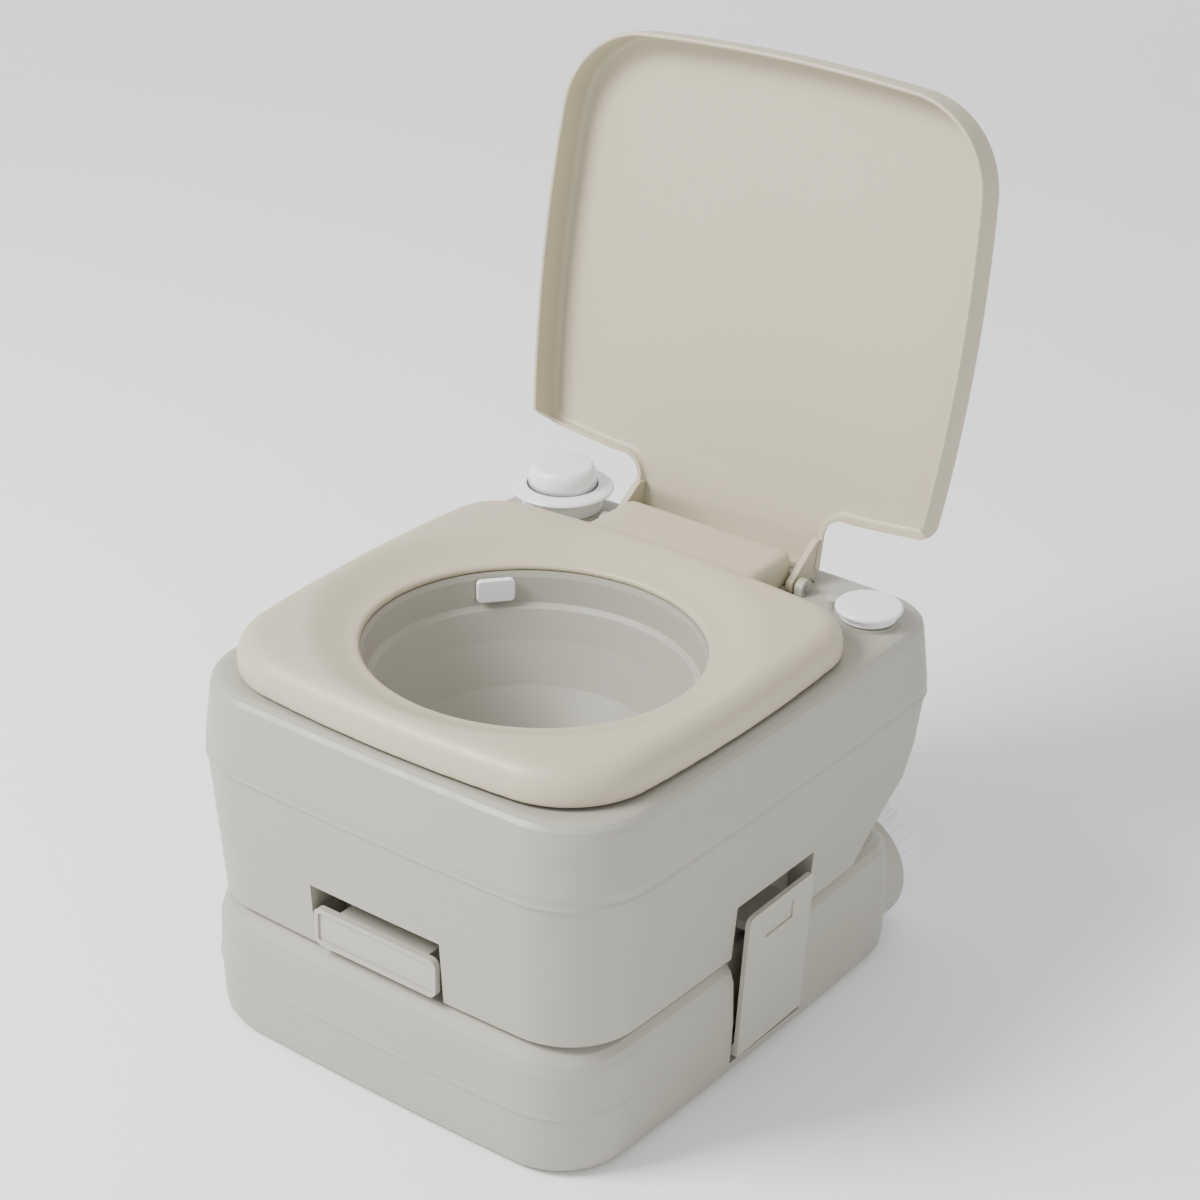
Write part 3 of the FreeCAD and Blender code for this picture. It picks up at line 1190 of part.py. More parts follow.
def make_pump():
    at_pump = dict(x="-pump_left", y="pump_back")
    well = "(button_radius + button_gap)"
    turned("pump_flange", [
        (well, WELL_FLOOR), (well, f"{FLANGE_TOP} - 0.4"), (f"{well} + 0.5", FLANGE_TOP),
        ("flange_radius - 5", f"{FLANGE_TOP} - 0.6"), ("flange_radius - 1", f"{FLANGE_TOP} - 1.8"),
        ("flange_radius", f"{FLANGE_TOP} - 3"), ("flange_radius - 0.6", f"{FLANGE_TOP} - 4"),
        (f"{well} + 4", f"{FLANGE_TOP} - 4.6"), (f"{well} + 4", "deck_top"),
        ("barrel_radius + 2.7", "deck_top"), ("barrel_radius + 2.7", "barrel_top"),
        ("coil_radius + 4", "barrel_top"), ("coil_radius + 4", f"{WELL_FLOOR} - wall"),
        ("rod_radius + rod_gap", f"{WELL_FLOOR} - wall"), ("rod_radius + rod_gap", WELL_FLOOR),
    ], **at_pump)
    turned("pump_button", [
        ("0", f"{BUTTON_TOP} - wall"), ("button_radius - wall", f"{BUTTON_TOP} - wall"),
        ("button_radius - wall", f"{FLANGE_TOP} - 0.8"), ("button_radius", f"{FLANGE_TOP} - 0.8"),
        ("button_radius", f"{BUTTON_TOP} - 5"), ("button_radius - 1", f"{BUTTON_TOP} - 2.4"),
        ("button_radius - 3", f"{BUTTON_TOP} - 0.8"), ("button_radius - 6", BUTTON_TOP),
        ("0", BUTTON_TOP),
    ], **at_pump)

    bore = "(barrel_radius - wall * 0.8)"
    barrel = turned("pump_barrel", [
        (bore, "barrel_bottom"), ("barrel_radius", "barrel_bottom"),
        ("barrel_radius", "barrel_top"), (bore, "barrel_top"),
    ], **at_pump)
    spigot = sketch_on(barrel, "XZ_Plane", "barrel_spigot", "barrel_radius - 1")
    circle(spigot, "0", "hose_height", "hose_bore")
    pad(barrel, spigot, "barrel_spigot")
    way = sketch_on(barrel, "XZ_Plane", "barrel_spigot_way", "barrel_radius + barrel_spigot")
    circle(way, "0", "hose_height", "hose_bore - spigot_wall")
    pocket(barrel, way, "barrel_spigot + wall")

    groove = "piston_top - piston_height / 2"
    body_radius = f"({bore} - piston_gap)"
    turned("pump_piston", [
        ("0", "piston_top - piston_height"), (body_radius, "piston_top - piston_height"),
        (body_radius, f"{groove} - groove_half"),
        (f"{body_radius} - groove_depth", f"{groove} - groove_half"),
        (f"{body_radius} - groove_depth", f"{groove} + groove_half"),
        (body_radius, f"{groove} + groove_half"),
        (body_radius, "piston_top"), ("rod_radius", "piston_top"),
        ("rod_radius", f"{BUTTON_TOP} - wall"), ("0", f"{BUTTON_TOP} - wall"),
    ], **at_pump)
    turned("piston_ring", [
        (f"{body_radius} - groove_depth + ring_play", f"{groove} - groove_half + ring_play"),
        (f"{bore} - ring_play", f"{groove} - groove_half + ring_play"),
        (f"{bore} - ring_play", f"{groove} + groove_half - ring_play"),
        (f"{body_radius} - groove_depth + ring_play", f"{groove} + groove_half - ring_play"),
    ], **at_pump)

    valve = new_body("foot_valve")
    disc = sketch_on(valve, "XY_Plane", "foot_valve_disc", "barrel_bottom - foot_height")
    circle(disc, "0", "0", "barrel_radius")
    pad(valve, disc, "foot_height")
    tube = sketch_on(valve, "XY_Plane", "suction_tube", "suction_bottom + foot_height")
    circle(tube, "0", "suction_place", "suction_radius")
    pad(valve, tube, "barrel_bottom - suction_bottom - 2 * foot_height")
    strainer = sketch_on(valve, "XY_Plane", "suction_strainer", "suction_bottom")
    circle(strainer, "0", "suction_place", "strainer_radius")
    pad(valve, strainer, "strainer_height")
    way = sketch_on(valve, "XY_Plane", "suction_way", "barrel_bottom")
    circle(way, "0", "suction_place", "suction_bore")
    pocket(valve, way, "barrel_bottom - suction_bottom + 2")
    move(valve, "-pump_left", "pump_back")

    make_spring()


def make_spring():
    """The return spring, its wire run in short straight steps round the coil."""
    radius = value("coil_radius")
    rise = value(f"{BUTTON_TOP} - wall - {WELL_FLOOR} - 2 * wire_radius - 2 * spring_gap")
    steps = int(value("coil_turns * coil_steps"))

    def wire_place(step):
        angle = 2 * math.pi * step / value("coil_steps")
        return Vector(radius * math.cos(angle), radius * math.sin(angle), rise * step / steps)

    route = Part.makePolygon([wire_place(step) for step in range(steps + 1)])
    start = Part.Circle(wire_place(0), wire_place(1) - wire_place(0), value("wire_radius"))
    mitred = 1
    spring = doc.addObject("Part::Feature", "pump_spring")
    spring.Shape = route.makePipeShell([Part.Wire([start.toShape()])], True, False, mitred)
    spring.Placement = Placement()
    move(spring, "-pump_left", "pump_back", f"{WELL_FLOOR} + wire_radius + spring_gap")
    node(spring, "pump_spring")


# ---------------------------------------------------------------- the filler cap

def make_filler():
    at_filler = dict(x="filler_right", y="filler_back")
    top = "(deck_top + filler_cap_height)"
    neck_top = "(deck_top + filler_neck)"
    inner = "(filler_bore + wall * thread_share + thread_gap)"
    turned("filler_cap", [
        (inner, "deck_top + 3"), ("filler_skirt", "deck_top + 3"), ("filler_skirt", f"{top} - 4.4"),
        ("filler_cap_radius", f"{top} - 3.8"), ("filler_cap_radius", f"{top} - 1.6"),
        ("filler_cap_radius - 0.6", f"{top} - 0.5"), ("filler_cap_radius - 1.8", top), ("0", top),
        ("0", f"{neck_top} + seal_thickness"), (inner, f"{neck_top} + seal_thickness"),
    ], **at_filler)
    turned("filler_seal", [
        ("filler_bore - 1", neck_top), (f"{inner} - seal_play / 2", neck_top),
        (f"{inner} - seal_play / 2", f"{neck_top} + seal_thickness"),
        ("filler_bore - 1", f"{neck_top} + seal_thickness"),
    ], **at_filler)

    strap = new_body("filler_strap")
    ring = sketch_on(strap, "XY_Plane", "strap_ring", "deck_top")
    circle(ring, "0", "0", "filler_skirt + 1")
    pad(strap, ring, "strap_thickness")
    tail = sketch_on(strap, "XY_Plane", "strap_tail", "deck_top")
    rectangle(tail, ("-filler_skirt - strap_reach", "-filler_skirt + strap_half_width"),
              ("-strap_half_width", "strap_half_width"))
    pad(strap, tail, "strap_thickness")
    stud = sketch_on(strap, "XY_Plane", "strap_stud", "deck_top")
    circle(stud, "-filler_skirt - stud_reach", "0", "stud_radius")
    pad(strap, stud, "stud_height")
    eye = sketch_on(strap, "XY_Plane", "strap_eye", "deck_top + overcut")
    circle(eye, "0", "0", "filler_bore + wall * thread_share")
    pocket(strap, eye, "overcut + 2")
    move(strap, **at_filler)


# ---------------------------------------------------------------- the seat

SEAT = outline("seat_half_width", "-seat_front", "seat_rear", "seat_front_corner", "seat_rear_corner",
               "seat_crest", "seat_side_bend", "seat_end_bend")
SEAT_BOTTOM = "(deck_top + seat_gap)"
SEAT_TOP = f"({SEAT_BOTTOM} + seat_height)"

SEAT_ROUNDING = (
    # height as a share of the seat's thickness, inset, and how much further back its rear lies
    (0, 1.2, 0), (0.08, 0, 0), (0.28, 0, 1), (0.52, 2.5, 4),
    (0.72, 7, 9.5), (0.88, 13, 13), (0.98, 20, 14), (1, 26, 14),
)

MOUTH_SLOPE = (
    # share of the way up from the hole's edge to the seat's top, and how far out the slope lies there
    (0, 0), (0.3, 2.5), (0.57, 7), (0.83, 14), (1, 24),
)


def make_seat():
    levels = [(f"{SEAT_BOTTOM} + seat_height * {share}", str(inset), f"seat_rear + {back}")
              for share, inset, back in SEAT_ROUNDING]
    outside = vessel("seat_outside", SEAT, levels)

    def mouth(name, grown, flare):
        edge = "(deck_top + seat_lip)"
        rise = f"({SEAT_TOP} - {edge})"
        rings = [(f"{SEAT_BOTTOM} - 2", f"bowl_half_width + {grown}", f"bowl_half_depth + {grown}")]
        rings += [(f"{edge} + {rise} * {share} + {flare}", f"bowl_half_width + {grown + out}",
                   f"bowl_half_depth + {grown + out}") for share, out in MOUTH_SLOPE]
        return ellipse_loft(name, rings)

    hole = mouth("seat_hole", 0, 0.01)
    core = mouth("seat_core", 4, -4)
    under = vessel("seat_under", SEAT, [
        (f"{SEAT_BOTTOM} - 1", "seat_wall"),
        (f"{SEAT_BOTTOM} + seat_height * 0.28", "seat_wall"),
        (f"{SEAT_BOTTOM} + seat_height * 0.52", "seat_wall + 3"),
        (f"{SEAT_TOP} - seat_wall", "seat_wall + under_slope"),
    ])
    collar_room = ellipse_loft("collar_room", [
        (height, "bowl_half_width + collar_wall + room_gap", "bowl_half_depth + collar_wall + room_gap")
        for height in (f"{SEAT_BOTTOM} - 1", "deck_top + seat_lip - room_drop")])
    hollow = cut("seat_hollow", under, core)
    shell = cut("seat_shell", outside, hollow)

    plate = block("tongue_plate", ("-tongue_half_width", "tongue_half_width"),
                  ("seat_rear - tongue_root", "hinge_place + tongue_rear"),
                  (SEAT_BOTTOM, f"{SEAT_BOTTOM} + tongue_height"))
    back = value("hinge_place + tongue_rear")

    def rear_upright(edge):
        return runs_along(edge, (0, 0, 1)) and edge.CenterOfMass.y > back - 1

    def top_or_rear(edge):
        centre = edge.CenterOfMass
        top = centre.z > value(f"{SEAT_BOTTOM} + tongue_height") - 0.1
        return top and centre.y > value("seat_rear")

    corners = rounded("tongue_corners", plate, "tongue_corner", rear_upright)
    tongue = rounded("tongue", corners, "tongue_round", top_or_rear)
    bosses = [rod(f"buffer_boss_{number}", "buffer_radius + boss_wall", "seat_height * boss_share",
                  x, y, SEAT_BOTTOM)
              for number, (x, y) in enumerate(buffer_places())]
    bores = [rod(f"seat_bore_{name}", "pin_radius + pin_gap", "pin_depth + 3", x,
                 "hinge_place", "hinge_height", "x")
             for x, name in (("tongue_half_width - pin_depth - 1", "right"),
                             ("-tongue_half_width - 2", "left"))]
    solid = fused("seat_solid", shell, tongue, *bosses)
    node(cut("seat_shape", solid, hole, collar_room, *bores), "seat")

    buffers = [rod(f"buffer_{number}", "buffer_radius", "seat_gap - rest_gap", x, y, "deck_top + rest_gap")
               for number, (x, y) in enumerate(buffer_places())]
    node(group("buffers", *buffers), "seat_buffers")


def buffer_places():
    return [(x, y) for x in ("-buffer_spread", "buffer_spread") for y in ("buffer_front", "buffer_rear")]


# ---------------------------------------------------------------- the lid

LID = outline("lid_half_width", "-lid_reach", "-lid_heel", "lid_front_corner", "lid_rear_corner",
              "-(lid_reach + lid_heel) / 2", "lid_side_bend", "lid_end_bend")
CHEEK_OUTER = "(ear_place - cheek_gap)"
CHEEK_INNER = f"({CHEEK_OUTER} - ear_thickness)"


def make_lid():
    low = "(lid_crown - lid_rim)"
    outside = vessel("lid_outside", LID, [
        (low, "0.6"), (f"{low} + 1.5", "0"), ("lid_crown - 7", "0.8"), ("lid_crown - 3.4", "2.2"),
        ("lid_crown - 1.2", "5.2"), ("lid_crown - 0.3", "9"), ("lid_crown", "13"),
    ])
    inside = vessel("lid_inside", LID, [
        (f"{low} - 1", "lid_wall + 0.6"), ("lid_crown - 8", "lid_wall + 0.9"),
        ("lid_crown - lid_wall - 1.4", "lid_wall + 3"), ("lid_crown - lid_wall", "lid_wall + 7"),
    ])
    open_back = block("lid_open_back", ("open_margin - lid_half_width", "lid_half_width - open_margin"),
                      ("-lid_heel - open_depth", "5 - lid_heel"), (f"{low} - 1", "lid_crown - lid_wall"))
    tray = cut("lid_tray", outside, inside, open_back)

    slab = block("lid_tongue_slab", (f"-{CHEEK_OUTER}", CHEEK_OUTER),
                 ("-lid_heel - lid_overlap", "-lid_tail"),
                 ("lid_crown - tongue_depth", "lid_crown"))
    space = block("lid_tongue_space", (f"-{CHEEK_INNER}", CHEEK_INNER),
                  ("-lid_heel - lid_overlap - 1", "-lid_tail - wall"),
                  ("lid_crown - tongue_depth - 1", "lid_crown - lid_wall"))
    room = block("lid_cheek_end", (f"-{CHEEK_OUTER} - 1", f"{CHEEK_OUTER} + 1"),
                 ("-lid_heel - lid_overlap - 1", "lid_clear - lid_heel"),
                 ("lid_crown - tongue_depth - 1", "lid_crown - lid_wall"))
    tongue = cut("lid_tongue", slab, space, room)

    ears = []
    holes = []
    for place, name in ((CHEEK_INNER, "right"), (f"-{CHEEK_OUTER}", "left")):
        web = doc.addObject("Part::Extrusion", f"lid_web_{name}")
        web.Base = web_outline(f"lid_web_outline_{name}", place)
        web.DirMode = "Custom"
        web.Dir = Vector(1, 0, 0)
        web.Solid = True
        bind(web, LengthFwd="ear_thickness")
        ears += [web, rod(f"lid_ear_{name}", "ear_radius", "ear_thickness", place, along="x")]
        holes.append(rod(f"lid_ear_hole_{name}", "pin_radius + pin_gap", "ear_thickness + 4",
                         f"{place} - 2", along="x"))
    lid = node(cut("lid_shape", fused("lid_solid", tray, tongue, *ears), *holes), "lid")
    turn(lid, (-1, 0, 0), "lid_open")
    move(lid, 0, "hinge_place", "hinge_height")


def web_outline(name, place):
    """The lid's hinge arm, from the ear at its pin up to the tongue's cheek."""
    sketch = doc.addObject("Sketcher::SketchObject", name)
    sketch.Placement.Rotation = Rotation(Vector(1, 1, 1), 120)
    polygon(sketch, [
        ("ear_radius * web_reach_share", "ear_radius * web_rise_share"),
        ("-lid_tail", "lid_crown - tongue_depth"),
        ("-lid_tail", "lid_crown - web_foot"), ("lid_clear - lid_heel", "lid_crown - web_foot"),
        ("lid_clear - lid_heel", "lid_crown - tongue_depth"), ("-ear_radius", "0"),
    ])
    move(sketch, place)
    return sketch


def make_hinge_pins():
    length = f"{CHEEK_OUTER} + cheek_gap + ear_thickness + 1 - (tongue_half_width - pin_depth)"
    start = "tongue_half_width - pin_depth"
    pins = [rod("hinge_pin_right", "pin_radius", length, start, "hinge_place", "hinge_height", "x"),
            rod("hinge_pin_left", "pin_radius", length, f"-({start}) - ({length})",
                "hinge_place", "hinge_height", "x")]
    node(group("pins_of_hinge", *pins), "hinge_pins")


# ---------------------------------------------------------------- build, check and write

def check_and_write():
    doc.recompute()
    for item in doc.Objects:
        if "Invalid" in item.State or "Error" in item.State:
            raise RuntimeError(f"{item.Name} ({item.Label}): {item.State}")
    os.makedirs("parts", exist_ok=True)
    for item in NODES:
        shape = item.Shape
        if shape.isNull() or not shape.isValid() or not shape.Solids:
            raise RuntimeError(f"{item.Label} has no valid solid")
        shape.exportStep(f"parts/{item.Label}.step")
        print(f"{item.Label:16s} {len(shape.Solids)} solids  {shape.Volume / 1000:9.1f} cm3")


def main():
    make_waste_tank()
    make_valve()
    make_handle()
    make_latches()
    make_drain_cap()
    make_flush_tank()
    make_bowl_deck()
    make_nozzle()
    make_hose()
    make_pump()
    make_filler()
    make_seat()
    make_lid()
    make_hinge_pins()
    check_and_write()


main()
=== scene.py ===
import math
from collections import namedtuple

import bmesh
import bpy
from bpy.props import FloatProperty, PointerProperty, StringProperty
from mathutils import Matrix, Vector


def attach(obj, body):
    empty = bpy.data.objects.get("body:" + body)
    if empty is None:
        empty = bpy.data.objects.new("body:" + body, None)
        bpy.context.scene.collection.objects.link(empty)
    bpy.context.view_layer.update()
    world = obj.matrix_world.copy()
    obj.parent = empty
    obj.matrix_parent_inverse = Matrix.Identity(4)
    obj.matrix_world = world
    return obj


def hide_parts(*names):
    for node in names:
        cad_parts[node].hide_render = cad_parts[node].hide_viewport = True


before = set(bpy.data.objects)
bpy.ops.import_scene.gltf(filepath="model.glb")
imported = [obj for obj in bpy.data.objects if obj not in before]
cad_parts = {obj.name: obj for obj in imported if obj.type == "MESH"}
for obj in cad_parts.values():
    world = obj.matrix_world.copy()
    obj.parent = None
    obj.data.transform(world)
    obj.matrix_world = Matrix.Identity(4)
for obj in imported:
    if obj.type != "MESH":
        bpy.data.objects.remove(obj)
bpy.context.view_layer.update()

bl_info = {
    "name": "Portable camp toilet",
    "version": (1, 0, 0),
    "blender": (4, 5, 0),
    "location": "View3D > Sidebar > Camp toilet",
    "description": "Builds the looks of a portable camp toilet round its packed CAD frame",
    "category": "Add Mesh",
}

MM = 0.001


# ------------------------------------------------------------------ sizes and colours

class CampToiletSizes(bpy.types.PropertyGroup):
    """Sizes of the pieces, in metres, in the frame of the CAD parts."""

    seat_crest: FloatProperty(name="Seat crest", description="Height of the seat's highest ring",
                              default=0.2900, unit="LENGTH")
    seat_rounding: FloatProperty(name="Seat rounding", description="Radius of the seat's soft outer edge",
                                 default=0.0165, unit="LENGTH")
    seat_dish: FloatProperty(name="Seat dish", description="How far the seat falls towards its hole",
                             default=0.0125, unit="LENGTH")
    seat_dish_width: FloatProperty(name="Dish width", description="Breadth of the fall towards the hole",
                                   default=0.040, unit="LENGTH")
    lid_edge: FloatProperty(name="Lid edge", description="Radius of the rounding round the lid's face",
                            default=0.0075, unit="LENGTH")
    notch_round: FloatProperty(name="Notch rounding", default=0.015, unit="LENGTH",
                               description="Radius in the corners beside the lid's tongue")
    seam_proud: FloatProperty(name="Seam", description="How far the moulded line stands out of the tank",
                              default=0.0013, unit="LENGTH")
    soft_edge: FloatProperty(name="Soft edges", description="Rounding along the moulded edges",
                             default=0.0009, unit="LENGTH")


class CampToiletColours(bpy.types.PropertyGroup):
    """Colours of the finishes, as sRGB hex values."""

    tank: StringProperty(name="Tanks", description="Grey-beige of the two tanks", default="#9F9C91")
    seat: StringProperty(name="Seat and lid", description="Warm beige of the seat and lid",
                         default="#B8AF97")
    handle: StringProperty(name="Handle and latches", description="Grey-beige of the handle and latches",
                           default="#A9A69B")
    white: StringProperty(name="White fittings", description="White of the pump, caps and nozzle",
                          default="#E9EAEC")
    inner: StringProperty(name="Inner fittings", description="Grey of the valve and the pump's inside",
                          default="#8E8D89")
    rubber: StringProperty(name="Seals", description="Black of the rubber seals", default="#232323")
    hose: StringProperty(name="Hose", description="Milky vinyl of the flush hose", default="#D5D6D2")
    steel: StringProperty(name="Pins and screws", description="Stainless steel", default="#B9B7B3")


class CampToiletStage(bpy.types.PropertyGroup):
    """The camera, the floor and the lights."""

    azimuth: FloatProperty(name="Azimuth", description="Camera's place round the toilet, from the front",
                           default=36.739, min=-360, max=360)
    elevation: FloatProperty(name="Elevation", description="Camera's height as an angle", default=27.108)
    roll: FloatProperty(name="Roll", description="Camera's tilt about its own axis", default=0.967)
    distance: FloatProperty(name="Distance", description="Camera to its target", default=1.81586,
                            unit="LENGTH")
    lens: FloatProperty(name="Lens", description="Focal length in millimetres", default=81.378)
    key: FloatProperty(name="Key light", description="Power of the large soft light in watts",
                       default=150.0)
    fill: FloatProperty(name="Fill light", description="Power of the side light in watts", default=6.0)
    sky: FloatProperty(name="Room light", description="Strength of the even light all round",
                       default=0.95)


# ------------------------------------------------------------------ materials

def linear(hex_colour):
    """An sRGB hex colour as linear RGBA."""
    parts = [int(hex_colour[i:i + 2], 16) / 255 for i in (1, 3, 5)]
    return [p / 12.92 if p <= 0.04045 else ((p + 0.055) / 1.055) ** 2.4 for p in parts] + [1.0]


def add_node(tree, kind, sockets=None, links=None, **settings):
    """Adds a node, sets it, and links its inputs to the outputs given."""
    item = tree.nodes.new(kind)
    for name, setting in settings.items():
        setattr(item, name, setting)
    for name, amount in (sockets or {}).items():
        item.inputs[name].default_value = amount
    for name, source in (links or {}).items():
        tree.links.new(source, item.inputs[name])
    return item


CLOUD = 45 * MM
PATCH = 18 * MM
SCATTER = 1.5 * MM


def moulded(name, colour, roughness, grain_mm, relief_mm, mottle=0.02, spread=0.05, ior=1.49,
            metallic=0.0, drawn=None, subsurface=0.0, transmission=0.0):
    """A finish with a fine surface grain, a faint mottle and uneven gloss, all at real scale."""
    material = bpy.data.materials.new(name)
    material.use_nodes = True
    tree = material.node_tree
    tree.nodes.clear()
    place = add_node(tree, "ShaderNodeTexCoord").outputs["Object"]
    if drawn:
        # drawn or turned metal: the grain is pulled out along one axis
        stretch = add_node(tree, "ShaderNodeMapping", {"Scale": drawn}, {"Vector": place})
        place = stretch.outputs["Vector"]
    shade = linear(colour)
    lighter = [min(1.0, channel * (1 + mottle)) for channel in shade[:3]] + [1.0]
    darker = [channel * (1 - mottle) for channel in shade[:3]] + [1.0]
    cloud = add_node(tree, "ShaderNodeTexNoise", {"Scale": 1 / CLOUD, "Detail": 3.0, "Roughness": 0.55},
                     {"Vector": place})
    tint = add_node(tree, "ShaderNodeMixRGB", {"Color1": darker, "Color2": lighter},
                    {"Fac": cloud.outputs["Fac"]})
    patch = add_node(tree, "ShaderNodeTexNoise", {"Scale": 1 / PATCH, "Detail": 4.0}, {"Vector": place})
    gloss = add_node(tree, "ShaderNodeMapRange",
                     {"From Min": 0.3, "From Max": 0.7,
                      "To Min": roughness - spread, "To Max": roughness + spread},
                     {"Value": patch.outputs["Fac"]})
    grain = add_node(tree, "ShaderNodeTexNoise",
                     {"Scale": 1 / (grain_mm * MM), "Detail": 2.0, "Roughness": 0.6}, {"Vector": place})
    relief = add_node(tree, "ShaderNodeBump", {"Strength": 0.4, "Distance": relief_mm * MM},
                      {"Height": grain.outputs["Fac"]})
    shader = add_node(tree, "ShaderNodeBsdfPrincipled",
                      {"IOR": ior, "Metallic": metallic, "Subsurface Weight": subsurface,
                       "Subsurface Scale": SCATTER, "Transmission Weight": transmission},
                      {"Base Color": tint.outputs["Color"], "Roughness": gloss.outputs["Result"],
                       "Normal": relief.outputs["Normal"]})
    add_node(tree, "ShaderNodeOutputMaterial", links={"Surface": shader.outputs["BSDF"]})
    return material


MATERIALS = {}


def make_materials(colours):
    """Every finish of the object."""
    MATERIALS.update({
        # blow-moulded high-density polyethylene, lightly spark-eroded: satin, soft broad highlights
        "tank": moulded("blow-moulded polyethylene", colours.tank, 0.46, 0.9, 0.035, 0.015, 0.05, 1.54),
        # injection-moulded polypropylene, finer grain: satin with a clearer highlight on the edges
        "seat": moulded("moulded polypropylene", colours.seat, 0.42, 0.7, 0.022, 0.012, 0.05, 1.49),
        # the same polypropylene in the body's grey-beige
        "handle": moulded("moulded grey polypropylene", colours.handle, 0.40, 0.7, 0.022, 0.015, 0.05, 1.49),
        # ABS from a polished mould: near white, half glossy
        "white": moulded("moulded white ABS", colours.white, 0.27, 1.2, 0.006, 0.008, 0.04, 1.53),
        # glass-filled polypropylene: grey and dull
        "inner": moulded("glass-filled polypropylene", colours.inner, 0.55, 0.8, 0.03, 0.05, 0.06, 1.49),
        # EPDM rubber seals: black and matt, with a slight bloom
        "rubber": moulded("EPDM rubber", colours.rubber, 0.68, 0.6, 0.03, 0.15, 0.08, 1.52),
        # soft PVC hose: milky, smooth
        "hose": moulded("soft PVC", colours.hose, 0.30, 1.5, 0.01, 0.02, 0.05, 1.53, transmission=0.25),
        # stainless steel, drawn wire and turned screws: fine lines along the length
        "steel": moulded("stainless steel", colours.steel, 0.30, 0.5, 0.01, 0.04, 0.06, 1.5, metallic=1.0,
                         drawn=(0.05, 1.0, 1.0)),
    })


# which finish each CAD node that stays in view takes
NODE_FINISH = {
    "waste_tank": "tank", "flush_tank": "tank", "bowl_deck": "tank", "bowl": "tank",
    "latch_right": "handle", "latch_left": "handle", "valve_handle": "handle",
    "valve_base": "inner", "valve_cover": "inner", "valve_blade": "inner", "pump_barrel": "inner",
    "pump_piston": "inner", "foot_valve": "inner", "filler_strap": "handle",
    "drain_cap": "white", "flush_nozzle": "white", "pump_flange": "white", "pump_button": "white",
    "filler_cap": "white", "nozzle_housing": "white",
    "seat": "seat", "lid": "seat",
    "valve_seal": "rubber", "outlet_gasket": "rubber", "drain_seal": "rubber", "filler_seal": "rubber",
    "piston_ring": "rubber", "seat_buffers": "rubber", "flush_hose": "hose",
    "valve_screws": "steel", "latch_pins": "steel", "hinge_pins": "steel", "pump_spring": "steel",
}


# ------------------------------------------------------------------ mesh helpers

def new_piece(name, points, faces, finish, body, stands_for=(), slot=None, smooth=True):
    """A mesh piece that rides on a body and may stand for CAD nodes."""
    mesh = bpy.data.meshes.new(name)
    mesh.from_pydata([tuple(point) for point in points], [], faces)
    mesh.validate()
    tidy = bmesh.new()
    tidy.from_mesh(mesh)
    bmesh.ops.recalc_face_normals(tidy, faces=tidy.faces)
    tidy.to_mesh(mesh)
    tidy.free()
    mesh.polygons.foreach_set("use_smooth", [smooth] * len(mesh.polygons))
    mesh.materials.append(MATERIALS[finish])
    piece = bpy.data.objects.new(name, mesh)
    bpy.context.scene.collection.objects.link(piece)
    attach(piece, body)
    if stands_for:
        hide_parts(*stands_for)
    return piece


def rings_to_mesh(rings, closed_start=False, closed_end=False, loop=False):
    """Points and quads through rings of equal count; loop joins the last ring to the first."""
    count = len(rings[0])
    points = [point for ring in rings for point in ring]
    faces = []
    pairs = list(zip(range(len(rings) - 1), range(1, len(rings))))
    if loop:
        pairs.append((len(rings) - 1, 0))
    for low, high in pairs:
        for i in range(count):
            j = (i + 1) % count
            faces.append((low * count + i, low * count + j, high * count + j, high * count + i))
    if closed_start:
        faces.append(tuple(range(count))[::-1])
    if closed_end:
        start = (len(rings) - 1) * count
        faces.append(tuple(range(start, start + count)))
    return points, faces


def together(parts):
    """The points and faces of several meshes as those of one."""
    points, faces = [], []
    for part_points, part_faces in parts:
        faces += [tuple(index + len(points) for index in face) for face in part_faces]
        points += part_points
    return points, faces


def turned(profile, place, steps=128):
    """A turned piece from its closed profile, as radius and height; place and profile in millimetres."""
    x, y = place[0] * MM, place[1] * MM
    rings = [[Vector((x + radius * MM * math.cos(2 * math.pi * i / steps),
                      y + radius * MM * math.sin(2 * math.pi * i / steps), height * MM))
              for i in range(steps)] for radius, height in profile]
    return rings_to_mesh(rings, loop=True)


def eased(profile, per_corner=6, radius=1.0, keep=()):
    """A closed profile with each of its corners rounded off by a small arc."""
    result = []
    count = len(profile)
    for number in range(count):
        before, here, after = (Vector(profile[(number + step) % count]) for step in (-1, 0, 1))
        reach = min(radius, (before - here).length * 0.45, (after - here).length * 0.45)
        if number in keep or reach < 1e-4:
            result.append(tuple(here))
            continue
        start = here + (before - here).normalized() * reach
        end = here + (after - here).normalized() * reach
        for step in range(per_corner + 1):
            t = step / per_corner
            result.append(tuple(start * (1 - t) ** 2 + here * 2 * t * (1 - t) + end * t ** 2))
    return result


def add_bevel(piece, width, angle=30):
    """Rounds a piece's sharper edges a little."""
    bevel = piece.modifiers.new("soft edges", "BEVEL")
    bevel.width = width
    bevel.segments = 3
    bevel.limit_method = "ANGLE"
    bevel.angle_limit = math.radians(angle)


# ------------------------------------------------------------------ plan outlines, in millimetres

def corner_centre(side, side_radius, end, end_radius, rear):
    """Where a corner arc's centre lies, at given distances from the side's and the end's centres."""
    apart = end - side
    along = (side_radius ** 2 - end_radius ** 2 + apart.length ** 2) / (2 * apart.length)
    across = math.sqrt(side_radius ** 2 - along ** 2)
    unit = apart.normalized()
    normal = Vector((-unit.y, unit.x))
    both = [side + unit * along + normal * across, side + unit * along - normal * across]
    right = [point for point in both if point.x > 0] or both
    return (max if rear else min)(right, key=lambda point: point.y)


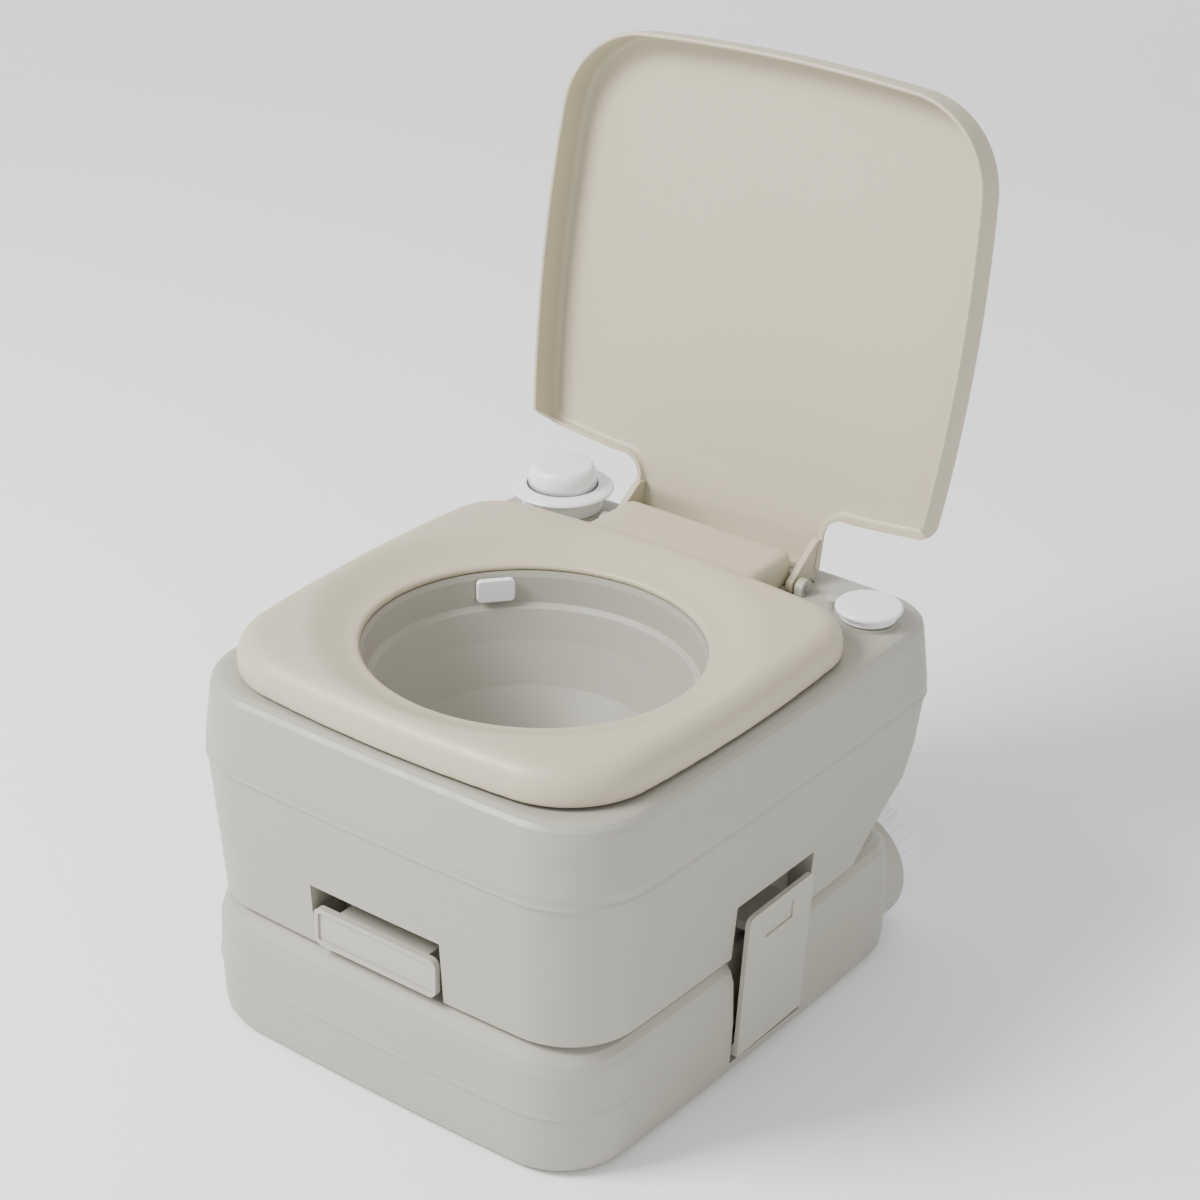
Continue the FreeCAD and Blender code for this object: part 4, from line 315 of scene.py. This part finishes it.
# a bowed rectangle with round corners: crest is where it is widest, the bends are the radii of its edges
Plan = namedtuple("Plan", "half_width front rear front_corner rear_corner crest side_bend end_bend")
SHARPEST = 0.5
END_POINTS, FRONT_POINTS, SIDE_POINTS, REAR_POINTS = 18, 22, 44, 16


def plan_ring(plan, inset=0.0):
    """Points round a plan, drawn in by an inset; starts at the middle of the front."""
    side_radius, end_radius = plan.side_bend - inset, plan.end_bend - inset
    front_radius = max(plan.front_corner - inset, SHARPEST)
    rear_radius = max(plan.rear_corner - inset, SHARPEST)
    side = Vector((plan.half_width - plan.side_bend, plan.crest))
    front_centre = Vector((0, plan.front + plan.end_bend))
    rear_centre = Vector((0, plan.rear - plan.end_bend))
    first = corner_centre(side, side_radius - front_radius, front_centre, end_radius - front_radius, False)
    second = corner_centre(side, side_radius - rear_radius, rear_centre, end_radius - rear_radius, True)

    def swept(centre, radius, start, end, count):
        low = math.atan2(start.y, start.x)
        high = math.atan2(end.y, end.x)
        high += 2 * math.pi if high < low else 0
        return [centre + radius * Vector((math.cos(low + (high - low) * i / count),
                                          math.sin(low + (high - low) * i / count))) for i in range(count)]

    to_front, to_rear = first - front_centre, second - rear_centre
    side_low, side_high = first - side, second - side
    down, up = Vector((0, -1)), Vector((0, 1))
    half = swept(front_centre, end_radius, down, to_front, END_POINTS)
    half += swept(first, front_radius, to_front, side_low, FRONT_POINTS)
    half += swept(side, side_radius, side_low, side_high, SIDE_POINTS)
    half += swept(second, rear_radius, side_high, to_rear, REAR_POINTS)
    half += swept(rear_centre, end_radius, to_rear, up, END_POINTS)
    half.append(rear_centre + end_radius * up)
    return half + [Vector((-point.x, point.y)) for point in half[-2:0:-1]]


def lifted(ring, height):
    """A flat ring in millimetres as 3-D points in metres, at a height or with a height for each point."""
    heights = height if isinstance(height, list) else [height] * len(ring)
    return [Vector((point.x, point.y, z)) * MM for point, z in zip(ring, heights)]


def smooth_step(t):
    """0 below 0, 1 above 1, with an even rise between."""
    t = min(max(t, 0.0), 1.0)
    return t * t * (3 - 2 * t)


# ------------------------------------------------------------------ operators

class PieceOperator:
    """What the operators share."""

    bl_options = {"REGISTER", "UNDO"}

    @property
    def sizes(self):
        return bpy.context.scene.camp_toilet_sizes


class CAMPTOILET_OT_finishes(PieceOperator, bpy.types.Operator):
    """Makes the finishes and puts them on the CAD pieces"""

    bl_idname = "camp_toilet.finishes"
    bl_label = "Finishes"

    def execute(self, context):
        make_materials(context.scene.camp_toilet_colours)
        for name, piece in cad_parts.items():
            if name not in NODE_FINISH:
                raise RuntimeError(f"no finish for {name}")
            for place in piece.material_slots:
                place.material = MATERIALS[NODE_FINISH[name]]
        return {"FINISHED"}


class CAMPTOILET_OT_soft_edges(PieceOperator, bpy.types.Operator):
    """Rounds the moulded edges of the CAD pieces that stay in view"""

    bl_idname = "camp_toilet.soft_edges"
    bl_label = "Soft edges"

    def execute(self, context):
        for name in ("valve_handle", "latch_right", "latch_left", "flush_nozzle"):
            add_bevel(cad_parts[name], self.sizes.soft_edge)
        return {"FINISHED"}


SEAT_PLAN = Plan(half_width=168.1, front=-194.6, rear=123.6, front_corner=66, rear_corner=45,
                 crest=-10, side_bend=1160, end_bend=1080)
SEAT_UNDERSIDE = 265
# inset and height of the rings round the seat's foot
SEAT_FOOT = ((2.6, 0), (1.2, 0.1), (0.3, 1), (0, 2.4))
SEAT_WALL = ((9, 15), (4.6, 9), (4.2, 0.4), (3.8, 0))
# how far the rings of the hole's edge lie outside it, and how far below the dish
MOUTH_EDGE = ((2, 0.3), (0.9, 1.1), (0.2, 2.3), (0, 3.8), (0.5, 5.0), (2.2, 5.6), (5, 5.6), (8, 4.6))
# the hollow's roof: share of the way from the hole out to the wall, and height
SEAT_ROOF = ((0.35, 14.5), (0.75, 18), (1.0, 19))
ROOF_INSET = 20
ROUNDING_STEPS = 10
TOP_STEPS = 18
BOWL_CENTRE = Vector((0, -37))
BOWL_MOUTH = (117.5, 111.5)
MOUTH_ROLL = 3.5
BOSS_RADIUS = 8.5
BOSS_TOP = 285
BOSS_SIDE = 138
BOSS_PLACES = (-105, 70)
SEAT_VOXEL = 1.35 * MM
TONGUE_HALF_WIDTH = 72
TONGUE_FRONT = 109
TONGUE_REAR = 167
TONGUE_CORNER = 9
# inset and height of the rings up the tongue
TONGUE_RINGS = ((1.5, 265), (0.4, 265.5), (0, 267), (0, 281.5), (0.7, 284.4), (2.4, 286.8), (4.8, 288),
                (7, 288.3))


class CAMPTOILET_OT_seat(PieceOperator, bpy.types.Operator):
    """Builds the soft-edged seat with its hinge tongue"""

    bl_idname = "camp_toilet.seat"
    bl_label = "Seat"

    def hole(self, ring, outset):
        """Points on the hole's edge, each facing a point of the outer ring."""
        across, along = BOWL_MOUTH[0] + outset, BOWL_MOUTH[1] + outset
        points = []
        for point in ring:
            ray = (point - BOWL_CENTRE).normalized()
            reach = 1 / math.sqrt((ray.x / across) ** 2 + (ray.y / along) ** 2)
            points.append(BOWL_CENTRE + ray * reach)
        return points

    def dished(self, ring, height):
        """Heights over a ring, lowered near the hole."""
        width, depth = self.sizes.seat_dish_width / MM, self.sizes.seat_dish / MM
        heights = []
        for point, edge in zip(ring, self.hole(ring, 0)):
            away = (point - edge).length
            heights.append(height - depth * (1 - smooth_step(away / width)))
        return heights

    def execute(self, context):
        crest, rounding = self.sizes.seat_crest / MM, self.sizes.seat_rounding / MM
        base = crest - rounding
        rings = [lifted(plan_ring(SEAT_PLAN, inset), SEAT_UNDERSIDE + rise) for inset, rise in SEAT_FOOT]
        rings.append(lifted(plan_ring(SEAT_PLAN), base))
        for step in range(1, ROUNDING_STEPS + 1):
            angle = math.pi / 2 * step / ROUNDING_STEPS
            ring = plan_ring(SEAT_PLAN, rounding * (1 - math.cos(angle)))
            lift = rounding * math.sin(angle)
            share = (step / ROUNDING_STEPS) ** 2
            rings.append(lifted(ring, [base + lift - (crest - height) * share
                                       for height in self.dished(ring, crest)]))
        shoulder = plan_ring(SEAT_PLAN, rounding)
        mouth = self.hole(shoulder, MOUTH_ROLL)
        for step in range(1, TOP_STEPS + 1):
            ring = [a.lerp(b, step / TOP_STEPS) for a, b in zip(shoulder, mouth)]
            rings.append(lifted(ring, self.dished(ring, crest)))
        low = crest - self.sizes.seat_dish / MM
        for outset, drop in MOUTH_EDGE:
            rings.append(lifted(self.hole(shoulder, outset), low - drop))
        inner, outer = self.hole(shoulder, MOUTH_EDGE[-1][0]), plan_ring(SEAT_PLAN, ROOF_INSET)
        for share, rise in SEAT_ROOF:
            rings.append(lifted([a.lerp(b, share) for a, b in zip(inner, outer)], SEAT_UNDERSIDE + rise))
        rings += [lifted(plan_ring(SEAT_PLAN, inset), SEAT_UNDERSIDE + rise) for inset, rise in SEAT_WALL]
        parts = [rings_to_mesh(rings, loop=True), self.tongue()]
        boss = [(0, SEAT_UNDERSIDE), (BOSS_RADIUS, SEAT_UNDERSIDE), (BOSS_RADIUS, BOSS_TOP), (0, BOSS_TOP)]
        for x in (-BOSS_SIDE, BOSS_SIDE):
            parts += [turned(boss, (x, y), 32) for y in BOSS_PLACES]
        piece = new_piece("seat_moulding", *together(parts), "seat", "seat", ("seat",), "seat_lid")
        self.blend_together(piece)
        return {"FINISHED"}

    def tongue(self):
        """The hinge tongue: a slab with round rear corners and edges, level with the seat's crest."""
        rings = []
        for inset, height in TONGUE_RINGS:
            radius = TONGUE_CORNER - inset
            right, left = ([Vector((side * (TONGUE_HALF_WIDTH - TONGUE_CORNER + radius * math.cos(angle)),
                                    TONGUE_REAR - TONGUE_CORNER + radius * math.sin(angle)))
                            for angle in [math.pi / 2 * i / 8 for i in range(9)]] for side in (1, -1))
            front_left = Vector((inset - TONGUE_HALF_WIDTH, TONGUE_FRONT))
            front_right = Vector((TONGUE_HALF_WIDTH - inset, TONGUE_FRONT))
            rings.append(lifted([front_left, front_right] + right + left[::-1], height))
        return rings_to_mesh(rings, closed_start=True, closed_end=True)

    def blend_together(self, piece):
        """Joins the seat and its tongue into one moulding with a small blend between them."""
        remesh = piece.modifiers.new("one moulding", "REMESH")
        remesh.mode = "VOXEL"
        remesh.voxel_size = SEAT_VOXEL
        remesh.use_smooth_shade = True
        soften = piece.modifiers.new("blend", "SMOOTH")
        soften.factor = 0.5
        soften.iterations = 10
        apply_modifiers(piece)


def apply_modifiers(piece):
    """Replaces a new piece's mesh by the one its modifiers make."""
    graph = bpy.context.evaluated_depsgraph_get()
    made = bpy.data.meshes.new_from_object(piece.evaluated_get(graph))
    piece.modifiers.clear()
    old = piece.data
    piece.data = made
    bpy.data.meshes.remove(old)


# the lid is drawn shut, in millimetres from its hinge, and then turned open
HINGE = Vector((0, 157, 267)) * MM
LID_OPEN = math.radians(99.7)
LID_PLAN = Plan(half_width=176, front=-356, rear=-42.5, front_corner=67, rear_corner=15,
                crest=-199.25, side_bend=1200, end_bend=1400)
LID_CROWN = 33
LID_WALL = 3.0
FLOOR_ROUNDING = 4.5
SKIN_GAP = 0.001
ARC_STEPS = 12
EDGE_STEPS = 7
# depth of the rim round the tray, along the notches and the tail, and beside the hinge
RIM, NOTCH_RIM, CHEEK_RIM = 27.5, 8, 12
# where the rim starts to run out at the rear corners, and over what length
RIM_END, RIM_FADE = -66, 16
CHEEK_START, CHEEK_FADE = -31, 7
CHEEK, TAIL, TAIL_CORNER = 81, -4, 4
NOTCH_FRONT = -60
TAIL_REACH, TAIL_START = 3.4, -24
# inset and depth below the crown of the rings up the outside of the rim, and down its inside
RIM_FOOT = ((0.9, 27.5), (0.2, 27), (0, 26))
RIM_INSIDE = ((3.0, 16), (3.0, 26), (2.7, 27.2), (2.0, 27.5))
STRAIGHT_RIM = 8
EAR_RADIUS = 7.0
EAR_START, EAR_SWEEP, EAR_STEPS = -150, 190, 20
# the hinge arm beyond its ear: distance from the hinge, and height below the crown
ARM = ((-4.5, 11), (-5, 5), (-30, 5), (-30, 11), (-27, 15))
ARM_OUTER, ARM_THICKNESS = 80.4, 5.4
ARM_EDGE = 0.8 * MM


class CAMPTOILET_OT_lid(PieceOperator, bpy.types.Operator):
    """Builds the lid: a shallow tray with a rim, and the tongue that carries its hinge"""

    bl_idname = "camp_toilet.lid"
    bl_label = "Lid"

    def outline(self):
        """The lid's edge, shut, with the depth of the rim at each point."""
        radius = self.sizes.notch_round / MM
        full = plan_ring(LID_PLAN)
        edge = [point for point in full[:len(full) // 2 + 1]
                if not (point.y > NOTCH_FRONT and point.x < CHEEK + radius)]
        path = [(point, RIM - (RIM - NOTCH_RIM) * smooth_step((point.y - RIM_END) / RIM_FADE))
                for point in edge]
        centre = Vector((CHEEK + radius, edge[-1].y + radius))
        for step in range(ARC_STEPS + 1):
            angle = -math.pi / 2 * (1 + step / ARC_STEPS)
            path.append((centre + radius * Vector((math.cos(angle), math.sin(angle))), NOTCH_RIM))
        half = ARC_STEPS // 2
        more = CHEEK_RIM - NOTCH_RIM
        for step in range(1, half):
            along = centre.y + (TAIL - TAIL_CORNER - centre.y) * step / half
            path.append((Vector((CHEEK, along)),
                         NOTCH_RIM + more * smooth_step((along - CHEEK_START) / CHEEK_FADE)))
        corner = Vector((CHEEK - TAIL_CORNER, TAIL - TAIL_CORNER))
        for step in range(half + 1):
            angle = math.pi / 2 * step / half
            turn = Vector((math.cos(angle), math.sin(angle)))
            path.append((corner + TAIL_CORNER * turn, CHEEK_RIM - more * step / half))
        path += [(Vector((corner.x * (1 - step / ARC_STEPS), TAIL)), NOTCH_RIM)
                 for step in range(1, ARC_STEPS + 1)]
        mirror = [(Vector((-point.x, point.y)), depth) for point, depth in path[-2:0:-1]]
        return path + mirror

    def rings(self, path):
        """The rings up the outside of the rim to the face, and those from the floor down its inside."""
        points = [point for point, depth in path]
        inward = []
        for before, after in zip(points[-1:] + points[:-1], points[1:] + points[:1]):
            ahead = (after - before).normalized()
            inward.append(Vector((-ahead.y, ahead.x)))

        def ring(inset, drop):
            """A ring drawn in from the edge, never lower than the rim's own edge there."""
            made = []
            for (point, depth), normal in zip(path, inward):
                reach = min(inset, TAIL_REACH) if point.y > TAIL_START else inset
                made.append(self.placed(point + normal * reach, LID_CROWN - min(drop, depth)))
            return made

        edge = self.sizes.lid_edge / MM
        outside = [ring(inset, drop) for inset, drop in RIM_FOOT]
        outside.append(ring(0, edge + STRAIGHT_RIM))
        for step in range(EDGE_STEPS + 1):
            angle = math.pi / 2 * step / EDGE_STEPS
            outside.append(ring(edge * (1 - math.cos(angle)), edge * (1 - math.sin(angle))))
        inside = []
        for step in range(EDGE_STEPS):
            angle = math.pi / 2 * (1 - step / (EDGE_STEPS - 1))
            inside.append(ring(LID_WALL + FLOOR_ROUNDING * (1 - math.cos(angle)) + SKIN_GAP,
                               LID_WALL + FLOOR_ROUNDING * (1 - math.sin(angle))))
        inside += [ring(inset, drop) for inset, drop in RIM_INSIDE]
        return outside, inside

    def execute(self, context):
        outside, inside = self.rings(self.outline())
        count = len(outside[0])
        # the rim's skin runs from the floor down, round its foot and up to the face
        points, faces = rings_to_mesh(inside + outside)
        # the face and the tray's floor, bridged across in strips from side to side
        last = (len(inside) + len(outside) - 1) * count
        for start, flip in ((last, False), (0, True)):
            for i in range(count // 2):
                a, b = start + i, start + i + 1
                c, d = start + (count - i - 1) % count, start + (count - i) % count
                strip = (a, b, c, d)
                if i == 0:
                    strip = (a, b, c)
                elif i == count // 2 - 1:
                    strip = (a, b, d)
                faces.append(strip[::-1] if flip else strip)
        new_piece("lid_moulding", points, faces, "seat", "lid", ("lid",), "seat_lid")
        self.arms()
        return {"FINISHED"}

    def placed(self, plan_point, height):
        """A point of the shut lid, measured from the hinge, where it is with the lid open."""
        shut = Vector((plan_point.x, plan_point.y, height)) * MM
        return HINGE + Matrix.Rotation(-LID_OPEN, 3, "X") @ shut

    def arms(self):
        """The two hinge arms under the tongue, each with a round ear on its pin."""
        turns = [math.radians(EAR_START + EAR_SWEEP * i / EAR_STEPS) for i in range(EAR_STEPS + 1)]
        outline = [(EAR_RADIUS * math.cos(angle), EAR_RADIUS * math.sin(angle)) for angle in turns]
        outline += [(along, LID_CROWN - drop) for along, drop in ARM]
        for name, low in (("right", ARM_OUTER - ARM_THICKNESS), ("left", -ARM_OUTER)):
            rings = [[self.placed(Vector((x, along)), height) for along, height in outline]
                     for x in (low, low + ARM_THICKNESS)]
            points, faces = rings_to_mesh(rings, closed_start=True, closed_end=True)
            piece = new_piece(f"lid_arm_{name}", points, faces, "seat", "lid", slot="seat_lid",
                              smooth=False)
            add_bevel(piece, ARM_EDGE, 40)


PUMP = (-135, 167.5)
# radius and height of the button's profile, from the middle of its crown to the middle of its underside
BUTTON_CROWN = 297
CROWN_RADII = (4, 8, 12, 16, 19, 21, 22.6)
CROWN_FALL = 0.0016
SHOULDER_START, SHOULDER_BREADTH, SHOULDER_DROP = 20, 3, 0.9
BUTTON_SIDE = ((24.2, 292.6), (25.1, 290.6), (25.5, 288), (25.5, 280.2), (22.5, 280.2), (22.5, 294),
               (0, 294))
# the flange: the well for the button, the saucer, the neck on the deck and the spring's seat
FLANGE = ((26.2, 267), (26.2, 280.2), (27.2, 281), (33.5, 280.4), (37.4, 279.2), (38.5, 277.6),
          (37.9, 276.6), (30.4, 276.2), (30.2, 263), (28.7, 263), (28.7, 252), (16, 252), (16, 264),
          (5.1, 264), (5.1, 267))


class CAMPTOILET_OT_pump(PieceOperator, bpy.types.Operator):
    """Builds the pump's domed button and its flange"""

    bl_idname = "camp_toilet.pump"
    bl_label = "Pump"

    def execute(self, context):
        crown = [(0, 296.9)]
        for radius in CROWN_RADII:
            shoulder = max(0, (radius - SHOULDER_START) / SHOULDER_BREADTH)
            crown.append((radius, BUTTON_CROWN - CROWN_FALL * radius ** 2 - SHOULDER_DROP * shoulder ** 2))
        button = turned(crown + list(BUTTON_SIDE), PUMP)
        new_piece("pump_button_moulding", *button, "white", "pump", ("pump_button",), "white")
        flange = turned(eased(FLANGE, 4, 0.8), PUMP)
        new_piece("pump_flange_moulding", *flange, "white", "upper", ("pump_flange",), "white")
        return {"FINISHED"}


FILLER = (143.5, 151)
# radius and height of the cap's profile: disc, skirt and inside; the points on its axis stay sharp
FILLER_CAP = ((0, 275.5), (19, 275.5), (22.6, 275.1), (23.5, 274.0), (23.5, 272.0), (20.2, 271.1),
              (20, 266), (17.2, 266), (17.2, 272.0), (0, 272.0))


class CAMPTOILET_OT_filler_cap(PieceOperator, bpy.types.Operator):
    """Builds the flush tank's filler cap with its overhanging disc"""

    bl_idname = "camp_toilet.filler_cap"
    bl_label = "Filler cap"

    def execute(self, context):
        cap = turned(eased(FILLER_CAP, 5, 1.2, keep=(0, len(FILLER_CAP) - 1)), FILLER)
        new_piece("filler_cap_moulding", *cap, "white", "filler_screw", ("filler_cap",), "white")
        return {"FINISHED"}


BELT_SEAM = 206.5 * MM
WASTE_LINE = 48.5 * MM
LIP_ROOT = -1.2 * MM
# the lip's section: share of its reach, and height above its own line in millimetres
LIP = ((0.0, -0.4), (0.85, -0.3), (1.0, 0.1), (1.0, 0.7), (0.55, 3.0), (0.0, 7.0))
LATCH_SIDE = 120
LATCH_EDGE = 50
DRAIN_EDGE = 140
LIP_FADE = 8
# points of a section nearer each other than this are taken as one
SHORTEST_STEP = 0.2 * MM
WASTE_LINE_SHARE = 0.7


class CAMPTOILET_OT_seams(PieceOperator, bpy.types.Operator):
    """Raises the fine moulded lines round the flush tank and the waste tank"""

    bl_idname = "camp_toilet.seams"
    bl_label = "Moulded lines"

    def clear_of_fittings(self, point):
        """1 on the plain skin, falling to 0 beside the latch recesses and the drain."""
        x, y = abs(point.x) / MM, point.y / MM
        beside_latch = (abs(y) - LATCH_EDGE) / LIP_FADE if x > LATCH_SIDE else 1
        beside_drain = (DRAIN_EDGE - y) / LIP_FADE
        return smooth_step(min(beside_latch, beside_drain))

    def section(self, node, height):
        """The outer outline of a CAD piece at a height, as points in order."""
        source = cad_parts[node]
        cut = bmesh.new()
        cut.from_mesh(source.data)
        cut.transform(source.matrix_world)
        bmesh.ops.remove_doubles(cut, verts=cut.verts, dist=1e-5)
        made = bmesh.ops.bisect_plane(cut, geom=cut.verts[:] + cut.edges[:] + cut.faces[:], dist=1e-7,
                                      plane_co=(0, 0, height), plane_no=(0, 0, 1))
        edges = {item for item in made["geom_cut"] if isinstance(item, bmesh.types.BMEdge)}
        loops = []
        while edges:
            edge = edges.pop()
            loop = [edge.verts[0], edge.verts[1]]
            growing = True
            while growing:
                growing = False
                for linked in loop[-1].link_edges:
                    if linked in edges:
                        edges.discard(linked)
                        loop.append(linked.other_vert(loop[-1]))
                        growing = True
                        break
            loops.append([vert.co.copy() for vert in loop])
        cut.free()
        return max(loops, key=lambda loop: max(point.x for point in loop) - min(point.x for point in loop))

    def bead(self, name, node, body, height, proud, shown=lambda point: 1.0):
        """A low lip on a piece's skin, flat below and sloping back above; it sinks in where not shown."""
        loop = self.section(node, height)
        closed = [point for number, point in enumerate(loop)
                  if number == 0 or (point - loop[number - 1]).length > SHORTEST_STEP]
        if (closed[0] - closed[-1]).length < SHORTEST_STEP:
            closed.pop()
        count = len(closed)
        area = sum(closed[i - 1].x * closed[i].y - closed[i].x * closed[i - 1].y for i in range(count))
        sign = 1 if area > 0 else -1
        normals = []
        for i in range(count):
            ahead = (closed[(i + 1) % count] - closed[i - 1]).normalized()
            normals.append(Vector((ahead.y, -ahead.x, 0)) * sign)
        reach = [(proud - LIP_ROOT) * shown(point) for point in closed]
        rings = [[point + normal * (LIP_ROOT + out * share) + Vector((0, 0, up * MM))
                  for point, normal, out in zip(closed, normals, reach)] for share, up in LIP]
        points, faces = rings_to_mesh(rings, loop=True)
        new_piece(name, points, faces, "tank", body, (), "tank")

    def execute(self, context):
        proud = self.sizes.seam_proud
        self.bead("flush_tank_seam", "bowl_deck", "upper", BELT_SEAM, proud)
        self.bead("waste_tank_line", "waste_tank", "base", WASTE_LINE, proud * WASTE_LINE_SHARE,
                  self.clear_of_fittings)
        return {"FINISHED"}


# the studio, in metres
FLOOR_FRONT, FLOOR_TOP, FLOOR_HALF_WIDTH = -4.0, 4.0, 5.0
BEND_START, BEND_RADIUS = 2.2, 1.2
KEY_SIZE, KEY_PLACE = 1.1, (-1.3, -1.7, 2.3)
FILL_SIZE, FILL_PLACE = 1.4, (1.9, -1.2, 1.2)
LIT = Vector((0, 0, 0.25))
LOOKED_AT = Vector((16.98, 12.67, 293.12)) * MM
SENSOR_WIDTH = 36


class CAMPTOILET_OT_stage(PieceOperator, bpy.types.Operator):
    """Sets the floor, the soft studio light and the camera"""

    bl_idname = "camp_toilet.stage"
    bl_label = "Stage"

    def execute(self, context):
        stage = context.scene.camp_toilet_stage
        self.floor()
        self.lights(stage)
        self.camera(stage)
        return {"FINISHED"}

    def floor(self):
        """A plain pale sheet that curves up far behind the toilet."""
        steps = [(FLOOR_FRONT, 0), (BEND_START, 0)]
        for degrees in range(10, 91, 10):
            angle = math.radians(degrees)
            steps.append((BEND_START + BEND_RADIUS * math.sin(angle), BEND_RADIUS * (1 - math.cos(angle))))
        steps.append((BEND_START + BEND_RADIUS, FLOOR_TOP))
        points = [Vector((x, y, z)) for y, z in steps for x in (-FLOOR_HALF_WIDTH, FLOOR_HALF_WIDTH)]
        faces = [(2 * i, 2 * i + 1, 2 * i + 3, 2 * i + 2) for i in range(len(steps) - 1)]
        mesh = bpy.data.meshes.new("floor")
        mesh.from_pydata([tuple(point) for point in points], [], faces)
        mesh.polygons.foreach_set("use_smooth", [True] * len(faces))
        # matt paper roll: white, no gloss
        mesh.materials.append(moulded("matt studio paper", "#F7F7F7", 0.9, 0.5, 0.01, 0.002, 0.02))
        floor = bpy.data.objects.new("floor", mesh)
        bpy.context.scene.collection.objects.link(floor)
        floor.rotation_euler.z = math.radians(bpy.context.scene.camp_toilet_stage.azimuth)

    def lights(self, stage):
        """Even light all round, a large soft light from the front left and a weak one from the right."""
        world = bpy.data.worlds.new("room")
        world.use_nodes = True
        world.node_tree.nodes["Background"].inputs["Color"].default_value = (1, 1, 1, 1)
        world.node_tree.nodes["Background"].inputs["Strength"].default_value = stage.sky
        bpy.context.scene.world = world
        for name, power, size, place in (("key", stage.key, KEY_SIZE, KEY_PLACE),
                                         ("fill", stage.fill, FILL_SIZE, FILL_PLACE)):
            lamp = bpy.data.lights.new(name, "AREA")
            lamp.energy = power
            lamp.size = size
            lit = bpy.data.objects.new(name, lamp)
            lit.location = place
            lit.rotation_euler = (LIT - lit.location).to_track_quat("-Z", "Y").to_euler()
            bpy.context.scene.collection.objects.link(lit)

    def camera(self, stage):
        """The camera, at its angle and distance from the point it looks at."""
        lens = bpy.data.cameras.new("camera")
        lens.sensor_width = SENSOR_WIDTH
        lens.lens = stage.lens
        camera = bpy.data.objects.new("camera", lens)
        around, up = math.radians(stage.azimuth), math.radians(stage.elevation)
        away = Vector((math.sin(around) * math.cos(up), -math.cos(around) * math.cos(up), math.sin(up)))
        camera.location = LOOKED_AT + away * stage.distance
        aim = (-away).to_track_quat("-Z", "Y").to_matrix()
        camera.rotation_euler = (aim @ Matrix.Rotation(math.radians(stage.roll), 3, "Z")).to_euler()
        bpy.context.scene.collection.objects.link(camera)
        bpy.context.scene.camera = camera


class CAMPTOILET_PT_panel(bpy.types.Panel):
    """Lists the toilet's sizes, colours and pieces"""

    bl_idname = "CAMPTOILET_PT_panel"
    bl_label = "Camp toilet"
    bl_space_type = "VIEW_3D"
    bl_region_type = "UI"
    bl_category = "Camp toilet"

    def draw(self, context):
        for group in (context.scene.camp_toilet_sizes, context.scene.camp_toilet_colours,
                      context.scene.camp_toilet_stage):
            box = self.layout.box()
            for name in group.bl_rna.properties.keys():
                if name not in ("rna_type", "name"):
                    box.prop(group, name)
        for operator in OPERATORS:
            self.layout.operator(operator.bl_idname)


OPERATORS = (CAMPTOILET_OT_finishes, CAMPTOILET_OT_soft_edges, CAMPTOILET_OT_seat, CAMPTOILET_OT_lid,
             CAMPTOILET_OT_pump, CAMPTOILET_OT_filler_cap, CAMPTOILET_OT_seams, CAMPTOILET_OT_stage)
GROUPS = {"camp_toilet_sizes": CampToiletSizes, "camp_toilet_colours": CampToiletColours,
          "camp_toilet_stage": CampToiletStage}


def register():
    for group in GROUPS.values():
        bpy.utils.register_class(group)
    for name, group in GROUPS.items():
        setattr(bpy.types.Scene, name, PointerProperty(type=group))
    for item in OPERATORS + (CAMPTOILET_PT_panel,):
        bpy.utils.register_class(item)


def unregister():
    for item in (CAMPTOILET_PT_panel,) + OPERATORS[::-1]:
        bpy.utils.unregister_class(item)
    for name, group in GROUPS.items():
        delattr(bpy.types.Scene, name)
        bpy.utils.unregister_class(group)


def main():
    register()
    for operator in OPERATORS:
        family, name = operator.bl_idname.split(".")
        getattr(getattr(bpy.ops, family), name)()


if __name__ == "__main__":
    main()
